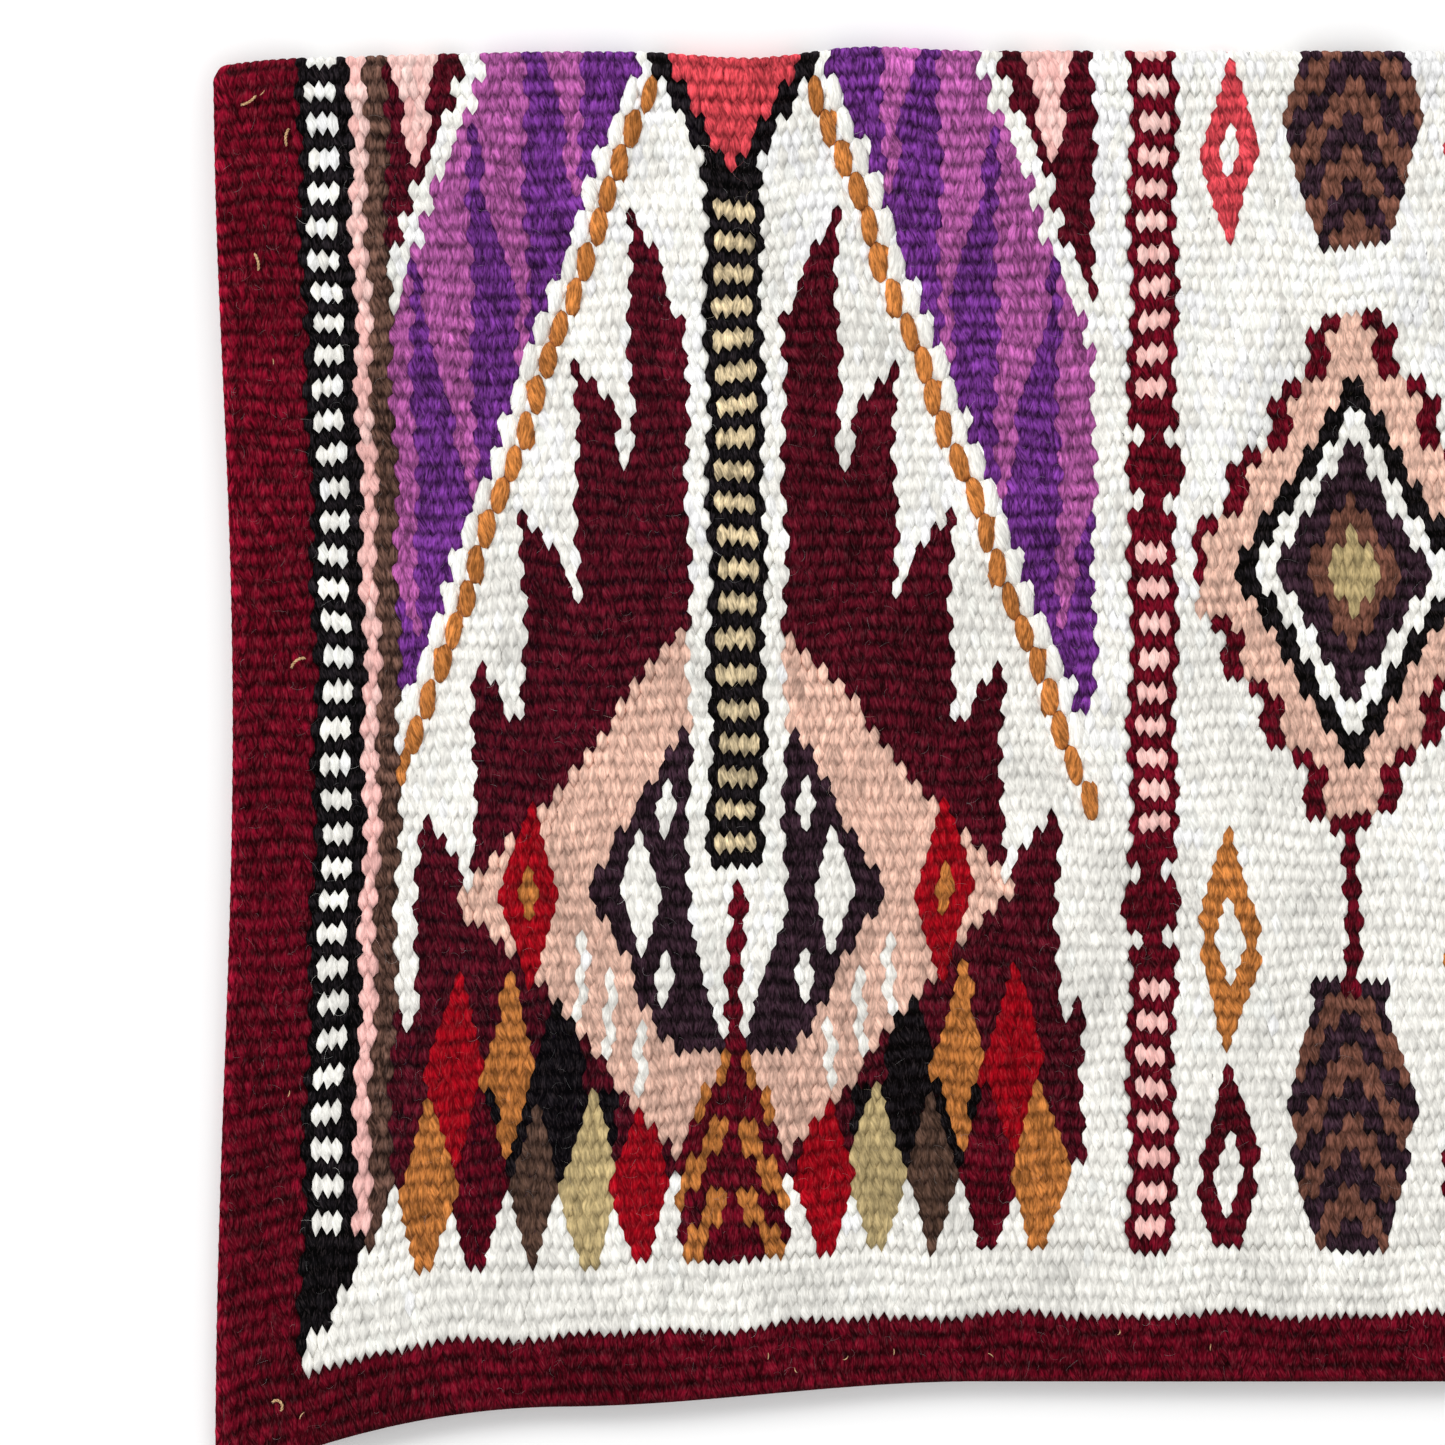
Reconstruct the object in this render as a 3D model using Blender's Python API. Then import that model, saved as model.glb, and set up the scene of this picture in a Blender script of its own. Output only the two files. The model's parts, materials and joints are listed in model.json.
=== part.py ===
"""Handwoven wool saddle blanket, folded in half along its spine and lying flat.

A thick weft-faced tapestry: the warps run along the spine (X) and each colour
area is its own weft yarn, turned back where it meets its neighbour. The part
keeps every weft area as its own slab, with a hairline gap along each join.
The off side lies on the floor. The near side lies over it, its hem resting on
the off side. A narrow strip round the fold joins the two sides by two hinge
lines, so that the blanket opens out flat.

X runs along the spine, +Y points to the fold, Z is up. Units are metres.
"""
import bpy
import math
from mathutils import Matrix, Vector

# Whole blanket
LENGTH = 0.864
DROP = 0.508
THICKNESS = 0.006
FOLD_INNER_RADIUS = 0.004
CLEARANCE = 0.0003
HINGE_COUNT = 2

# Widths of the upright bands, from the side edge inwards
BORDER_WIDTH = 0.032
LADDER_WIDTH = 0.0197
BEAD_WIDTH = 0.0064
LINE_WIDTH = 0.0070
TAN_LADDER_WIDTH = 0.0227
PINK_LADDER_WIDTH = 0.019
# The fields share what the bands leave; the centre field takes the rest
OUTER_FIELD_SHARE = 0.372
MIDDLE_FIELD_SHARE = 0.424

# Bands along the hem, and the mitre where they meet the upright bands
HEM_BORDER_WIDTH = 0.0235
HEM_BAND_WIDTH = 0.025
MITRE_RISE = 0.0535
MITRE_RETURN = 0.017

# Diamonds of the field, as shares of the field's height and width
DIAMOND_CENTRE_SHARE = 0.70
DIAMOND_HALF_HEIGHT_SHARE = 0.27
DIAMOND_REACH_SHARE = 0.775
MIDDLE_DIAMOND_CENTRE_SHARE = 0.42
MIDDLE_DIAMOND_HALF_HEIGHT_SHARE = 0.235

# Shape of the cloth off the loom: drawn in at mid drop, and slack at the hem corners
WAIST = 0.007
HEM_SWAY = 0.0095
SWAY_FROM = 0.142
SWAY_TO = 0.302
CORNER_DROOP = 0.030
CORNER_SPAN = 0.135
CORNER_RADIUS = 0.010
FOLD_CORNER_RADIUS = 0.0095
OUTLINE_PITCH = 0.010
OUTLINE_TOLERANCE = 0.00008
CORNER_STEPS = 4
ARC_STEPS = 4
SOLVER_STEPS = 8

# Warp ends left standing on the border
TAIL_RADIUS = 0.0005
TAIL_LENGTH = 0.009
TAIL_ARCH = 0.0012
TAIL_STEPS = 5
# Places on the border: along the half length, down the drop, and heading in degrees
TAIL_SHARES = [
    (-0.967, 0.035, 70),
    (-0.937, 0.065, 80),
    (-0.963, 0.160, 95),
    (-0.942, 0.459, 20),
    (-0.945, 0.965, 110),
]

# Colours as linear red, green and blue
BURGUNDY = (0.150, 0.004, 0.018)
BLACK = (0.009, 0.008, 0.009)
PINK = (0.880, 0.350, 0.330)
BROWN = (0.075, 0.040, 0.028)
PURPLE = (0.080, 0.014, 0.210)
WINE = (0.070, 0.006, 0.017)
PEACH = (0.810, 0.490, 0.400)
WHITE = (0.880, 0.870, 0.830)
AUBERGINE = (0.033, 0.013, 0.026)
KHAKI = (0.470, 0.390, 0.150)
STRAW = (0.640, 0.400, 0.170)
WOOL_ROUGHNESS = 0.95
STRAW_ROUGHNESS = 0.6

# Worked out from the sizes above
OUTER_RADIUS = FOLD_INNER_RADIUS + THICKNESS
MID_RADIUS = FOLD_INNER_RADIUS + THICKNESS / 2
HALF_LENGTH = LENGTH / 2

# Join lines between the bands, as distances from the middle of the spine
BORDER_INNER = HALF_LENGTH - BORDER_WIDTH
LADDER_INNER = BORDER_INNER - LADDER_WIDTH
BEAD_INNER = LADDER_INNER - BEAD_WIDTH
FIELD_EDGE = BEAD_INNER - LINE_WIDTH
FIELD_ROOM = FIELD_EDGE - TAN_LADDER_WIDTH - PINK_LADDER_WIDTH
OUTER_FIELD_WIDTH = FIELD_ROOM * OUTER_FIELD_SHARE
TAN_OUTER = FIELD_EDGE - OUTER_FIELD_WIDTH
TAN_INNER = TAN_OUTER - TAN_LADDER_WIDTH
PINK_OUTER = TAN_INNER - FIELD_ROOM * MIDDLE_FIELD_SHARE
PINK_INNER = PINK_OUTER - PINK_LADDER_WIDTH

# Join lines down the drop
BORDER_TOP = DROP - HEM_BORDER_WIDTH
FIELD_FOOT = BORDER_TOP - HEM_BAND_WIDTH
MITRE_TOP = BORDER_TOP - MITRE_RISE


def smooth(low, high, value):
    """0 below low, 1 above high and a smooth step between."""
    share = min(max((value - low) / (high - low), 0.0), 1.0)
    return share * share * (3 - 2 * share)


def place(run, drop):
    """Where a point of the even weave lies on the real cloth, in the cloth's own plane."""
    side = abs(run) / HALF_LENGTH
    down = drop / DROP
    drawn_in = WAIST * math.sin(math.pi * min(down, 1.0)) ** 2 * side ** 2
    slack = HEM_SWAY * smooth(SWAY_FROM, SWAY_TO, abs(run))
    corner = max(0.0, 1 - (HALF_LENGTH - abs(run)) / CORNER_SPAN)
    slack += CORNER_DROOP * corner ** 2
    return run - math.copysign(drawn_in, run), drop + slack * down ** 4


def corner_arc():
    """Rounded hem corner of the side border on the even weave, from the side edge to the hem."""
    centre = (HALF_LENGTH - CORNER_RADIUS, DROP - CORNER_RADIUS)
    angles = [math.pi / 2 * i / CORNER_STEPS for i in range(CORNER_STEPS + 1)]
    return [(centre[0] + CORNER_RADIUS * math.cos(a), centre[1] + CORNER_RADIUS * math.sin(a)) for a in angles]


LOWEST_DROP = max(place(*point)[1] for point in corner_arc())


def solve_tilt():
    """Slope of the near side, from the fold down to where its hem corners meet the off side."""
    tilt = 0.0
    for _ in range(SOLVER_STEPS):
        straight = LOWEST_DROP - MID_RADIUS * (math.pi + tilt) / 2
        fall = OUTER_RADIUS + FOLD_INNER_RADIUS * math.cos(tilt) - THICKNESS - CLEARANCE
        tilt = math.asin(fall / straight)
    return tilt


TILT = solve_tilt()
BEND = math.pi + TILT
STEP = BEND / HINGE_COUNT
HALF_ARC = MID_RADIUS * BEND / 2
HINGE_RADIUS = MID_RADIUS * STEP / (2 * math.sin(STEP / 2))
SLAB_TOP = HALF_ARC - FOLD_INNER_RADIUS * math.tan(STEP / 2)
FIELD_HEIGHT = FIELD_FOOT - SLAB_TOP

# Diamonds
DIAMOND_X = (TAN_OUTER + TAN_INNER) / 2
DIAMOND_HALF_WIDTH = TAN_LADDER_WIDTH / 2 + OUTER_FIELD_WIDTH * DIAMOND_REACH_SHARE
DIAMOND_Y = SLAB_TOP + FIELD_HEIGHT * DIAMOND_CENTRE_SHARE
DIAMOND_HALF_HEIGHT = FIELD_HEIGHT * DIAMOND_HALF_HEIGHT_SHARE
DIAMOND_LADDER_CUT = DIAMOND_HALF_HEIGHT * (1 - TAN_LADDER_WIDTH / 2 / DIAMOND_HALF_WIDTH)
MIDDLE_DIAMOND_Y = SLAB_TOP + FIELD_HEIGHT * MIDDLE_DIAMOND_CENTRE_SHARE
MIDDLE_DIAMOND_HALF_HEIGHT = FIELD_HEIGHT * MIDDLE_DIAMOND_HALF_HEIGHT_SHARE


def thin(points):
    """Drops the points of an open line that lie within the tolerance of the line without them."""
    start, end = Vector(points[0]), Vector(points[-1])
    along = (end - start).normalized()
    offsets = [abs(along.cross(Vector(point) - start)) for point in points]
    worst = max(range(len(points)), key=offsets.__getitem__)
    if offsets[worst] <= OUTLINE_TOLERANCE:
        return [points[0], points[-1]]
    return thin(points[:worst + 1])[:-1] + thin(points[worst:])


def laid_outline(points):
    """An outline of the even weave as it lies on the real cloth, with the points its bends need."""
    result = []
    for start, end in zip(points, points[1:] + points[:1]):
        count = math.ceil(math.dist(start, end) / OUTLINE_PITCH)
        shares = [i / count for i in range(count + 1)]
        edge = [place(*Vector(start).lerp(Vector(end), share)) for share in shares]
        result += thin(edge)[:-1]
    return result


def inset(points, distance):
    """Moves every edge of a simple outline inwards by the same distance."""
    area = sum(a[0] * b[1] - b[0] * a[1] for a, b in zip(points, points[1:] + points[:1]))
    turn = math.copysign(1.0, area)
    result = []
    for i, corner in enumerate(points):
        before = Vector(corner) - Vector(points[i - 1])
        after = Vector(points[(i + 1) % len(points)]) - Vector(corner)
        left = Vector((-before.y, before.x)).normalized() * turn
        right = Vector((-after.y, after.x)).normalized() * turn
        middle = (left + right).normalized()
        result.append(tuple(Vector(corner) + middle * (distance / middle.dot(left))))
    return result


def new_collection(name):
    collection = bpy.data.collections.new(name)
    bpy.context.scene.collection.children.link(collection)
    return collection


def wool(name, colour, roughness=WOOL_ROUGHNESS):
    """A dyed wool yarn: matt, with no metal in it."""
    material = bpy.data.materials.new(name)
    material.use_nodes = True
    shader = material.node_tree.nodes["Principled BSDF"]
    shader.inputs["Base Color"].default_value = (*colour, 1.0)
    shader.inputs["Roughness"].default_value = roughness
    shader.inputs["Metallic"].default_value = 0.0
    return material


def add_object(name, data, collection, parent):
    obj = bpy.data.objects.new(name, data)
    collection.objects.link(obj)
    obj.parent = parent
    return obj


def flat_outline(name, points, half_depth):
    """A closed flat outline, filled on both faces and thickened to both sides of its plane."""
    curve = bpy.data.curves.new(name, "CURVE")
    curve.dimensions = "2D"
    curve.fill_mode = "BOTH"
    curve.extrude = half_depth
    spline = curve.splines.new("POLY")
    spline.points.add(len(points) - 1)
    for point, (x, y) in zip(spline.points, points):
        point.co = (x, y, 0.0, 1.0)
    spline.use_cyclic_u = True
    return curve


def mirrored(points):
    return [(-x, y) for x, y in reversed(points)]


def border_outline():
    """The side border, with its hem corner rounded."""
    return [(BORDER_INNER, SLAB_TOP), (HALF_LENGTH, SLAB_TOP), *corner_arc(), (BORDER_INNER, DROP)]


def mitre(run):
    """Drop of the mitre line at a distance from the middle of the spine."""
    return BORDER_TOP - MITRE_RISE * (BORDER_INNER - run) / (BORDER_INNER - FIELD_EDGE)


def upright(outer, inner):
    """A band that runs down from the fold and ends on the mitre line."""
    return [(inner, SLAB_TOP), (outer, SLAB_TOP), (outer, mitre(outer)), (inner, mitre(inner))]


def paired_areas():
    """Weft areas that stand on both sides of the middle, given for the +X side."""
    top_cut = DIAMOND_Y - DIAMOND_LADDER_CUT
    foot_cut = DIAMOND_Y + DIAMOND_LADDER_CUT
    tip = DIAMOND_Y - DIAMOND_HALF_HEIGHT
    toe = DIAMOND_Y + DIAMOND_HALF_HEIGHT
    outer_field = [
        (TAN_OUTER, SLAB_TOP), (FIELD_EDGE, SLAB_TOP), (FIELD_EDGE, MITRE_TOP),
        (FIELD_EDGE - MITRE_RETURN, FIELD_FOOT), (TAN_OUTER, FIELD_FOOT), (TAN_OUTER, foot_cut),
        (DIAMOND_X + DIAMOND_HALF_WIDTH, DIAMOND_Y), (TAN_OUTER, top_cut),
    ]
    middle_field = [
        (PINK_OUTER, SLAB_TOP), (TAN_INNER, SLAB_TOP), (TAN_INNER, top_cut),
        (DIAMOND_X - DIAMOND_HALF_WIDTH, DIAMOND_Y), (TAN_INNER, foot_cut),
        (TAN_INNER, FIELD_FOOT), (PINK_OUTER, FIELD_FOOT),
    ]
    tan_ladder = [
        (TAN_INNER, SLAB_TOP), (TAN_OUTER, SLAB_TOP), (TAN_OUTER, top_cut),
        (DIAMOND_X, tip), (TAN_INNER, top_cut),
    ]
    stalk = [
        (TAN_INNER, foot_cut), (DIAMOND_X, toe), (TAN_OUTER, foot_cut),
        (TAN_OUTER, FIELD_FOOT), (TAN_INNER, FIELD_FOOT),
    ]
    diamond = [
        (DIAMOND_X, tip), (DIAMOND_X + DIAMOND_HALF_WIDTH, DIAMOND_Y),
        (DIAMOND_X, toe), (DIAMOND_X - DIAMOND_HALF_WIDTH, DIAMOND_Y),
    ]
    pink_ladder = [
        (PINK_INNER, SLAB_TOP), (PINK_OUTER, SLAB_TOP), (PINK_OUTER, FIELD_FOOT), (PINK_INNER, FIELD_FOOT),
    ]
    return [
        ("border", border_outline(), "burgundy"),
        ("black_ladder", upright(BORDER_INNER, LADDER_INNER), "black"),
        ("bead_line", upright(LADDER_INNER, BEAD_INNER), "pink"),
        ("brown_line", upright(BEAD_INNER, FIELD_EDGE), "brown"),
        ("outer_field", outer_field, "purple"),
        ("tan_ladder", tan_ladder, "black"),
        ("peach_diamond", diamond, "peach"),
        ("diamond_stalk", stalk, "wine"),
        ("middle_field", middle_field, "wine"),
        ("pink_ladder", pink_ladder, "pink"),
    ]


def middle_areas():
    """Weft areas that cross the middle of the spine."""
    tip = MIDDLE_DIAMOND_Y - MIDDLE_DIAMOND_HALF_HEIGHT
    toe = MIDDLE_DIAMOND_Y + MIDDLE_DIAMOND_HALF_HEIGHT
    above = [(-PINK_INNER, SLAB_TOP), (PINK_INNER, SLAB_TOP), (PINK_INNER, MIDDLE_DIAMOND_Y),
             (0, tip), (-PINK_INNER, MIDDLE_DIAMOND_Y)]
    below = [(-PINK_INNER, MIDDLE_DIAMOND_Y), (0, toe), (PINK_INNER, MIDDLE_DIAMOND_Y),
             (PINK_INNER, FIELD_FOOT), (-PINK_INNER, FIELD_FOOT)]
    diamond = [(0, tip), (PINK_INNER, MIDDLE_DIAMOND_Y), (0, toe), (-PINK_INNER, MIDDLE_DIAMOND_Y)]
    return_x = FIELD_EDGE - MITRE_RETURN
    hem_band = [
        (-return_x, FIELD_FOOT), (return_x, FIELD_FOOT), (FIELD_EDGE, MITRE_TOP), (BORDER_INNER, BORDER_TOP),
        (-BORDER_INNER, BORDER_TOP), (-FIELD_EDGE, MITRE_TOP),
    ]
    hem_border = [(-BORDER_INNER, BORDER_TOP), (BORDER_INNER, BORDER_TOP), (BORDER_INNER, DROP),
                  (-BORDER_INNER, DROP)]
    return [
        ("centre_field_top", above, "white"),
        ("centre_field_foot", below, "white"),
        ("centre_diamond", diamond, "khaki"),
        ("hem_band", hem_band, "white"),
        ("hem_border", hem_border, "burgundy"),
    ]


def add_side(side, collection, parent, frame, materials):
    """All weft areas of one side; frame maps (run, drop from the fold's end) to the world."""
    areas = []
    for name, outline, colour in paired_areas():
        areas.append((f"{name}_left", mirrored(outline), colour))
        areas.append((f"{name}_right", outline, colour))
    areas += middle_areas()
    for name, outline, colour in areas:
        outline = laid_outline(inset(outline, CLEARANCE / 2))
        middle = (sum(x for x, _ in outline) / len(outline), sum(y for _, y in outline) / len(outline))
        local = [(x - middle[0], middle[1] - y) for x, y in outline]
        curve = flat_outline(f"{side}_{name}", local, THICKNESS / 2)
        curve.materials.append(materials[colour])
        obj = add_object(f"{side}_{name}", curve, collection, parent)
        obj.matrix_world = frame @ Matrix.Translation((middle[0], HALF_ARC - middle[1], 0.0))


def strip_outline():
    """Section of the fold strip: tangent offset across, radius from the fold's centre upwards."""
    half_gap = CLEARANCE / 2
    half_width = HINGE_RADIUS * math.sin(STEP / 2) - half_gap
    hinge_height = HINGE_RADIUS * math.cos(STEP / 2)
    inner_angle = STEP / 2 - half_gap / FOLD_INNER_RADIUS
    outer_angle = math.asin(half_width / OUTER_RADIUS)
    points = []
    for i in range(ARC_STEPS + 1):
        angle = inner_angle * (2 * i / ARC_STEPS - 1)
        points.append((FOLD_INNER_RADIUS * math.sin(angle), FOLD_INNER_RADIUS * math.cos(angle)))
    points.append((half_width, hinge_height))
    for i in range(ARC_STEPS + 1):
        angle = outer_angle * (1 - 2 * i / ARC_STEPS)
        points.append((OUTER_RADIUS * math.sin(angle), OUTER_RADIUS * math.cos(angle)))
    points.append((-half_width, hinge_height))
    return points


def add_tails(collection, parent, frame, material):
    """Short straw-coloured warp ends that stand out of the border on the near side."""
    seat = THICKNESS / 2 + CLEARANCE + TAIL_RADIUS
    for number, (along_share, down_share, heading) in enumerate(TAIL_SHARES, 1):
        x, drop = place(HALF_LENGTH * along_share, DROP * down_share)
        name = f"near_warp_end_{number}"
        curve = bpy.data.curves.new(name, "CURVE")
        curve.dimensions = "3D"
        curve.bevel_depth = TAIL_RADIUS
        curve.bevel_resolution = 1
        curve.use_fill_caps = True
        spline = curve.splines.new("POLY")
        spline.points.add(TAIL_STEPS - 1)
        for i, point in enumerate(spline.points):
            share = i / (TAIL_STEPS - 1)
            point.co = (TAIL_LENGTH * (share - 1 / 2), 0.0, TAIL_ARCH * math.sin(math.pi * share), 1.0)
        curve.materials.append(material)
        obj = add_object(name, curve, collection, parent)
        turn = Matrix.Rotation(math.radians(heading), 4, "Z")
        obj.matrix_world = frame @ Matrix.Translation((x, HALF_ARC - drop, seat)) @ turn


def main():
    for obj in list(bpy.data.objects):
        bpy.data.objects.remove(obj, do_unlink=True)
    collection = new_collection("saddle_blanket")

    straight = LOWEST_DROP - HALF_ARC
    reach = max(straight, OUTER_RADIUS * math.sin(TILT) + straight * math.cos(TILT))
    centre = Vector((0.0, (reach - OUTER_RADIUS) / 2, OUTER_RADIUS))

    materials = {
        "burgundy": wool("burgundy_wool", BURGUNDY),
        "black": wool("black_wool", BLACK),
        "pink": wool("pink_wool", PINK),
        "brown": wool("brown_wool", BROWN),
        "purple": wool("purple_wool", PURPLE),
        "wine": wool("wine_wool", WINE),
        "peach": wool("peach_wool", PEACH),
        "white": wool("white_wool", WHITE),
        "khaki": wool("khaki_wool", KHAKI),
        "fold": wool("aubergine_wool", AUBERGINE),
        "straw": wool("straw_warp", STRAW, STRAW_ROUGHNESS),
    }

    # The off side is flat on the floor
    off_frame = Matrix.Translation((0.0, centre.y, THICKNESS / 2))
    add_side("off", collection, None, off_frame, materials)

    # Empties on the two hinge lines, the second carried by the first
    hinges = []
    for i in range(HINGE_COUNT):
        angle = STEP * (i + 1 / 2) - math.pi / 2
        offset = Vector((0.0, math.cos(angle), math.sin(angle))) * HINGE_RADIUS
        empty = add_object(f"fold_hinge_{i + 1}", None, collection, hinges[-1] if hinges else None)
        empty.matrix_world = Matrix.Translation(centre + offset)
        bpy.context.view_layer.update()
        hinges.append(empty)

    # The strip round the fold, shorter than the sides where the fold's ends are rounded off
    angle = STEP - math.pi / 2
    curve = flat_outline("fold_strip", strip_outline(), HALF_LENGTH - FOLD_CORNER_RADIUS)
    curve.materials.append(materials["fold"])
    strip = add_object("fold_strip", curve, collection, hinges[0])
    radial = Vector((0.0, math.cos(angle), math.sin(angle)))
    tangent = Vector((0.0, -math.sin(angle), math.cos(angle)))
    axes = Matrix((tangent, radial, tangent.cross(radial))).transposed().to_4x4()
    strip.matrix_world = Matrix.Translation(centre) @ axes

    # The near side slopes down from the fold
    angle = BEND - math.pi / 2
    start = centre + Vector((0.0, math.cos(angle), math.sin(angle))) * MID_RADIUS
    near_frame = Matrix.Translation(start) @ Matrix.Rotation(TILT, 4, "X")
    add_side("near", collection, hinges[-1], near_frame, materials)
    add_tails(collection, hinges[-1], near_frame, materials["straw"])


main()
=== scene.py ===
"""Looks of the folded saddle blanket: every weft grain of the tapestry as geometry, in its own colour."""

import json
import math
from functools import partial

import bpy
import numpy as np
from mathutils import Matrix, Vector


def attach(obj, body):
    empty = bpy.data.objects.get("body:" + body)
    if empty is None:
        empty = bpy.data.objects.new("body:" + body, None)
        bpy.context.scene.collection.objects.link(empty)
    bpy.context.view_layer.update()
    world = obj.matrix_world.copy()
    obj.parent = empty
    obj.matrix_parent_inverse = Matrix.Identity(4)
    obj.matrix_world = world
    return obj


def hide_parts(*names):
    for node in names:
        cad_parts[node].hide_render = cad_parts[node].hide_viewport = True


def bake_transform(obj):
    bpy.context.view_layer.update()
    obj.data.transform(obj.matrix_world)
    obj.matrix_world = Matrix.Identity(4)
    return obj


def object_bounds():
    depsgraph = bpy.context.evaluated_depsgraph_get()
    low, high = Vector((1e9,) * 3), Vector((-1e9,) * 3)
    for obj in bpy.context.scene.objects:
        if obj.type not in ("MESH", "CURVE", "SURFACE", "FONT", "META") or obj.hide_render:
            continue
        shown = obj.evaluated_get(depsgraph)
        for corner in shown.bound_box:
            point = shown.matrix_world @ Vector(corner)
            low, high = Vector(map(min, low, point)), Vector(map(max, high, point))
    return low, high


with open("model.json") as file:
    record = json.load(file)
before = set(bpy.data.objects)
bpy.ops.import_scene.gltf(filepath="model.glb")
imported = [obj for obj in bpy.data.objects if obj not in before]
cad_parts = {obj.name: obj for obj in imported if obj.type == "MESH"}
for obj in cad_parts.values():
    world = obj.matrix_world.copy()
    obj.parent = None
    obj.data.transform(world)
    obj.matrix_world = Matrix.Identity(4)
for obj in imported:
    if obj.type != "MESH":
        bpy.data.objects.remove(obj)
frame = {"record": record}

cad_box = [list(corner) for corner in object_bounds()]

# The cloth's driving sizes, in metres, as the solids have them
LENGTH = 0.864
DROP = 0.508
THICKNESS = 0.006
FOLD_INNER_RADIUS = 0.004
HALF_LENGTH = LENGTH / 2
HALF_THICKNESS = THICKNESS / 2
MID_RADIUS = FOLD_INNER_RADIUS + HALF_THICKNESS
OUTER_RADIUS = FOLD_INNER_RADIUS + THICKNESS

# Widths of the bands, from the selvedge inwards and from the hem upwards
BORDER_WIDTH = 0.032
LADDER_WIDTH = 0.0197
BEAD_WIDTH = 0.0064
LINE_WIDTH = 0.0070
TAN_LADDER_WIDTH = 0.0227
PINK_LADDER_WIDTH = 0.019
OUTER_FIELD_SHARE = 0.372
MIDDLE_FIELD_SHARE = 0.424
HEM_BORDER_WIDTH = 0.0235
HEM_BAND_WIDTH = 0.025
MITRE_RISE = 0.0535

# How the cloth hangs out of true: narrow at the waist, swaying at the hem, drooping at the corners
WAIST = 0.007
HEM_SWAY = 0.0095
SWAY_FROM = 0.142
SWAY_TO = 0.302
CORNER_DROOP = 0.030
CORNER_SPAN = 0.135
CORNER_RADIUS = 0.010
FOLD_CORNER_RADIUS = 0.009
FOLD_CORNER_CUT = 0.0016
FOLD_CORNER_SPAN = 0.060

# The weave: ribs are the warps, a grain is one pass of weft over one warp
RIBS = 80
GRAINS = 222
RIB = DROP / RIBS
GRAIN = LENGTH / GRAINS
FOLD_RIBS = 3
CREST_DEPTH_AT_SIDE = 0.0009
CREST_DEPTH_AT_TIP = 0.0017
CREST_VARIES = 0.00028
GRAIN_WANDERS = 0.00032
FINE_YARN_FLECKS = (0.35, 0.7)
FINE_YARN_CREST = 0.0005
FINE_YARN_TIP = 0.0013
FINE_YARN_FLATNESS, FLAT_ABOVE = 0.75, 0.5
FINE_YARN_STRAIGHTENS = 0.2
GRAIN_LEAN = 0.16
HEM_GRAIN = 0.6
RIM_CREST, RIM_CREST_FINE = 0.35, 0.4
RIM_WANDERS = (0.00042, 0.00058)
RIB_WANDERS = 0.0010
EDGE_ROUNDING = 0.0034
EDGE_LEFT_SHARE = 0.22
FOLD_LEFT_SHARE = 0.92
RIB_SCALLOP = 0.0002
SELVEDGE_DEPTH = 0.0006
LIFT = 0.0012
SHADE_VARIES = 0.12
DRIFT_VARIES = 0.08
DRIFT_ALONG, DRIFT_DOWN, DRIFT_SWAYS = 0.13, 0.21, 2
LEAST_UNLIKE = 0.25
DARKEST_GRAIN, PALEST_GRAIN = 0.72, 1.3
# How much darker the dark yarns grow towards the hem, and the share of the drop where they are unchanged
DARKER_TO_HEM, DARKER_TO_HEM_PIVOT = 0.30, 0.45
# How much paler the ends are and over what width: rubbed, and a painted highlight where fuzz catches light
END_WEAR_AND_HIGHLIGHT, END_WEAR_AND_HIGHLIGHT_WIDTH = 0.9, 0.0055
HIGHEST_COLOUR = 0.95

END_RUN = HALF_LENGTH - GRAIN / 4
BORDER_INNER = HALF_LENGTH - BORDER_WIDTH
LADDER_INNER = BORDER_INNER - LADDER_WIDTH
BEAD_INNER = LADDER_INNER - BEAD_WIDTH
FIELD_EDGE = BEAD_INNER - LINE_WIDTH
FIELD_ROOM = FIELD_EDGE - TAN_LADDER_WIDTH - PINK_LADDER_WIDTH
TAN_OUTER = FIELD_EDGE - FIELD_ROOM * OUTER_FIELD_SHARE
TAN_INNER = TAN_OUTER - TAN_LADDER_WIDTH
PINK_OUTER = TAN_INNER - FIELD_ROOM * MIDDLE_FIELD_SHARE
PINK_INNER = PINK_OUTER - PINK_LADDER_WIDTH
BORDER_TOP = DROP - HEM_BORDER_WIDTH
FIELD_FOOT = BORDER_TOP - HEM_BAND_WIDTH
MITRE_TOP = BORDER_TOP - MITRE_RISE

DIAMOND_AXIS = (TAN_OUTER + TAN_INNER) / 2
DIAMOND_HALF_WIDTH = 0.1051
DIAMOND_DROP = 0.32376
DIAMOND_HALF_HEIGHT = 0.12217
CENTRE_DIAMOND_DROP = 0.19706
CENTRE_DIAMOND_HALF_HEIGHT = 0.10633

# The fold, read from the frame: how far it bends, and its centre
NEAR_NORMAL = next(m["axis"] for m in frame["record"]["mounts"] if m["name"] == "saddle_face")
BEND = math.pi + math.atan2(-NEAR_NORMAL[1], NEAR_NORMAL[2])
HALF_ARC = MID_RADIUS * BEND / 2
FOLD_Y = cad_box[1][1] - OUTER_RADIUS
FOLD_Z = OUTER_RADIUS

rng = np.random.default_rng(34)


def linear(code):
    """An sRGB hex value as linear red, green and blue."""
    channels = np.array([int(code[i:i + 2], 16) for i in (1, 3, 5)]) / 255
    return np.where(channels <= 0.04045, channels / 12.92, ((channels + 0.055) / 1.055) ** 2.4)


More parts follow.
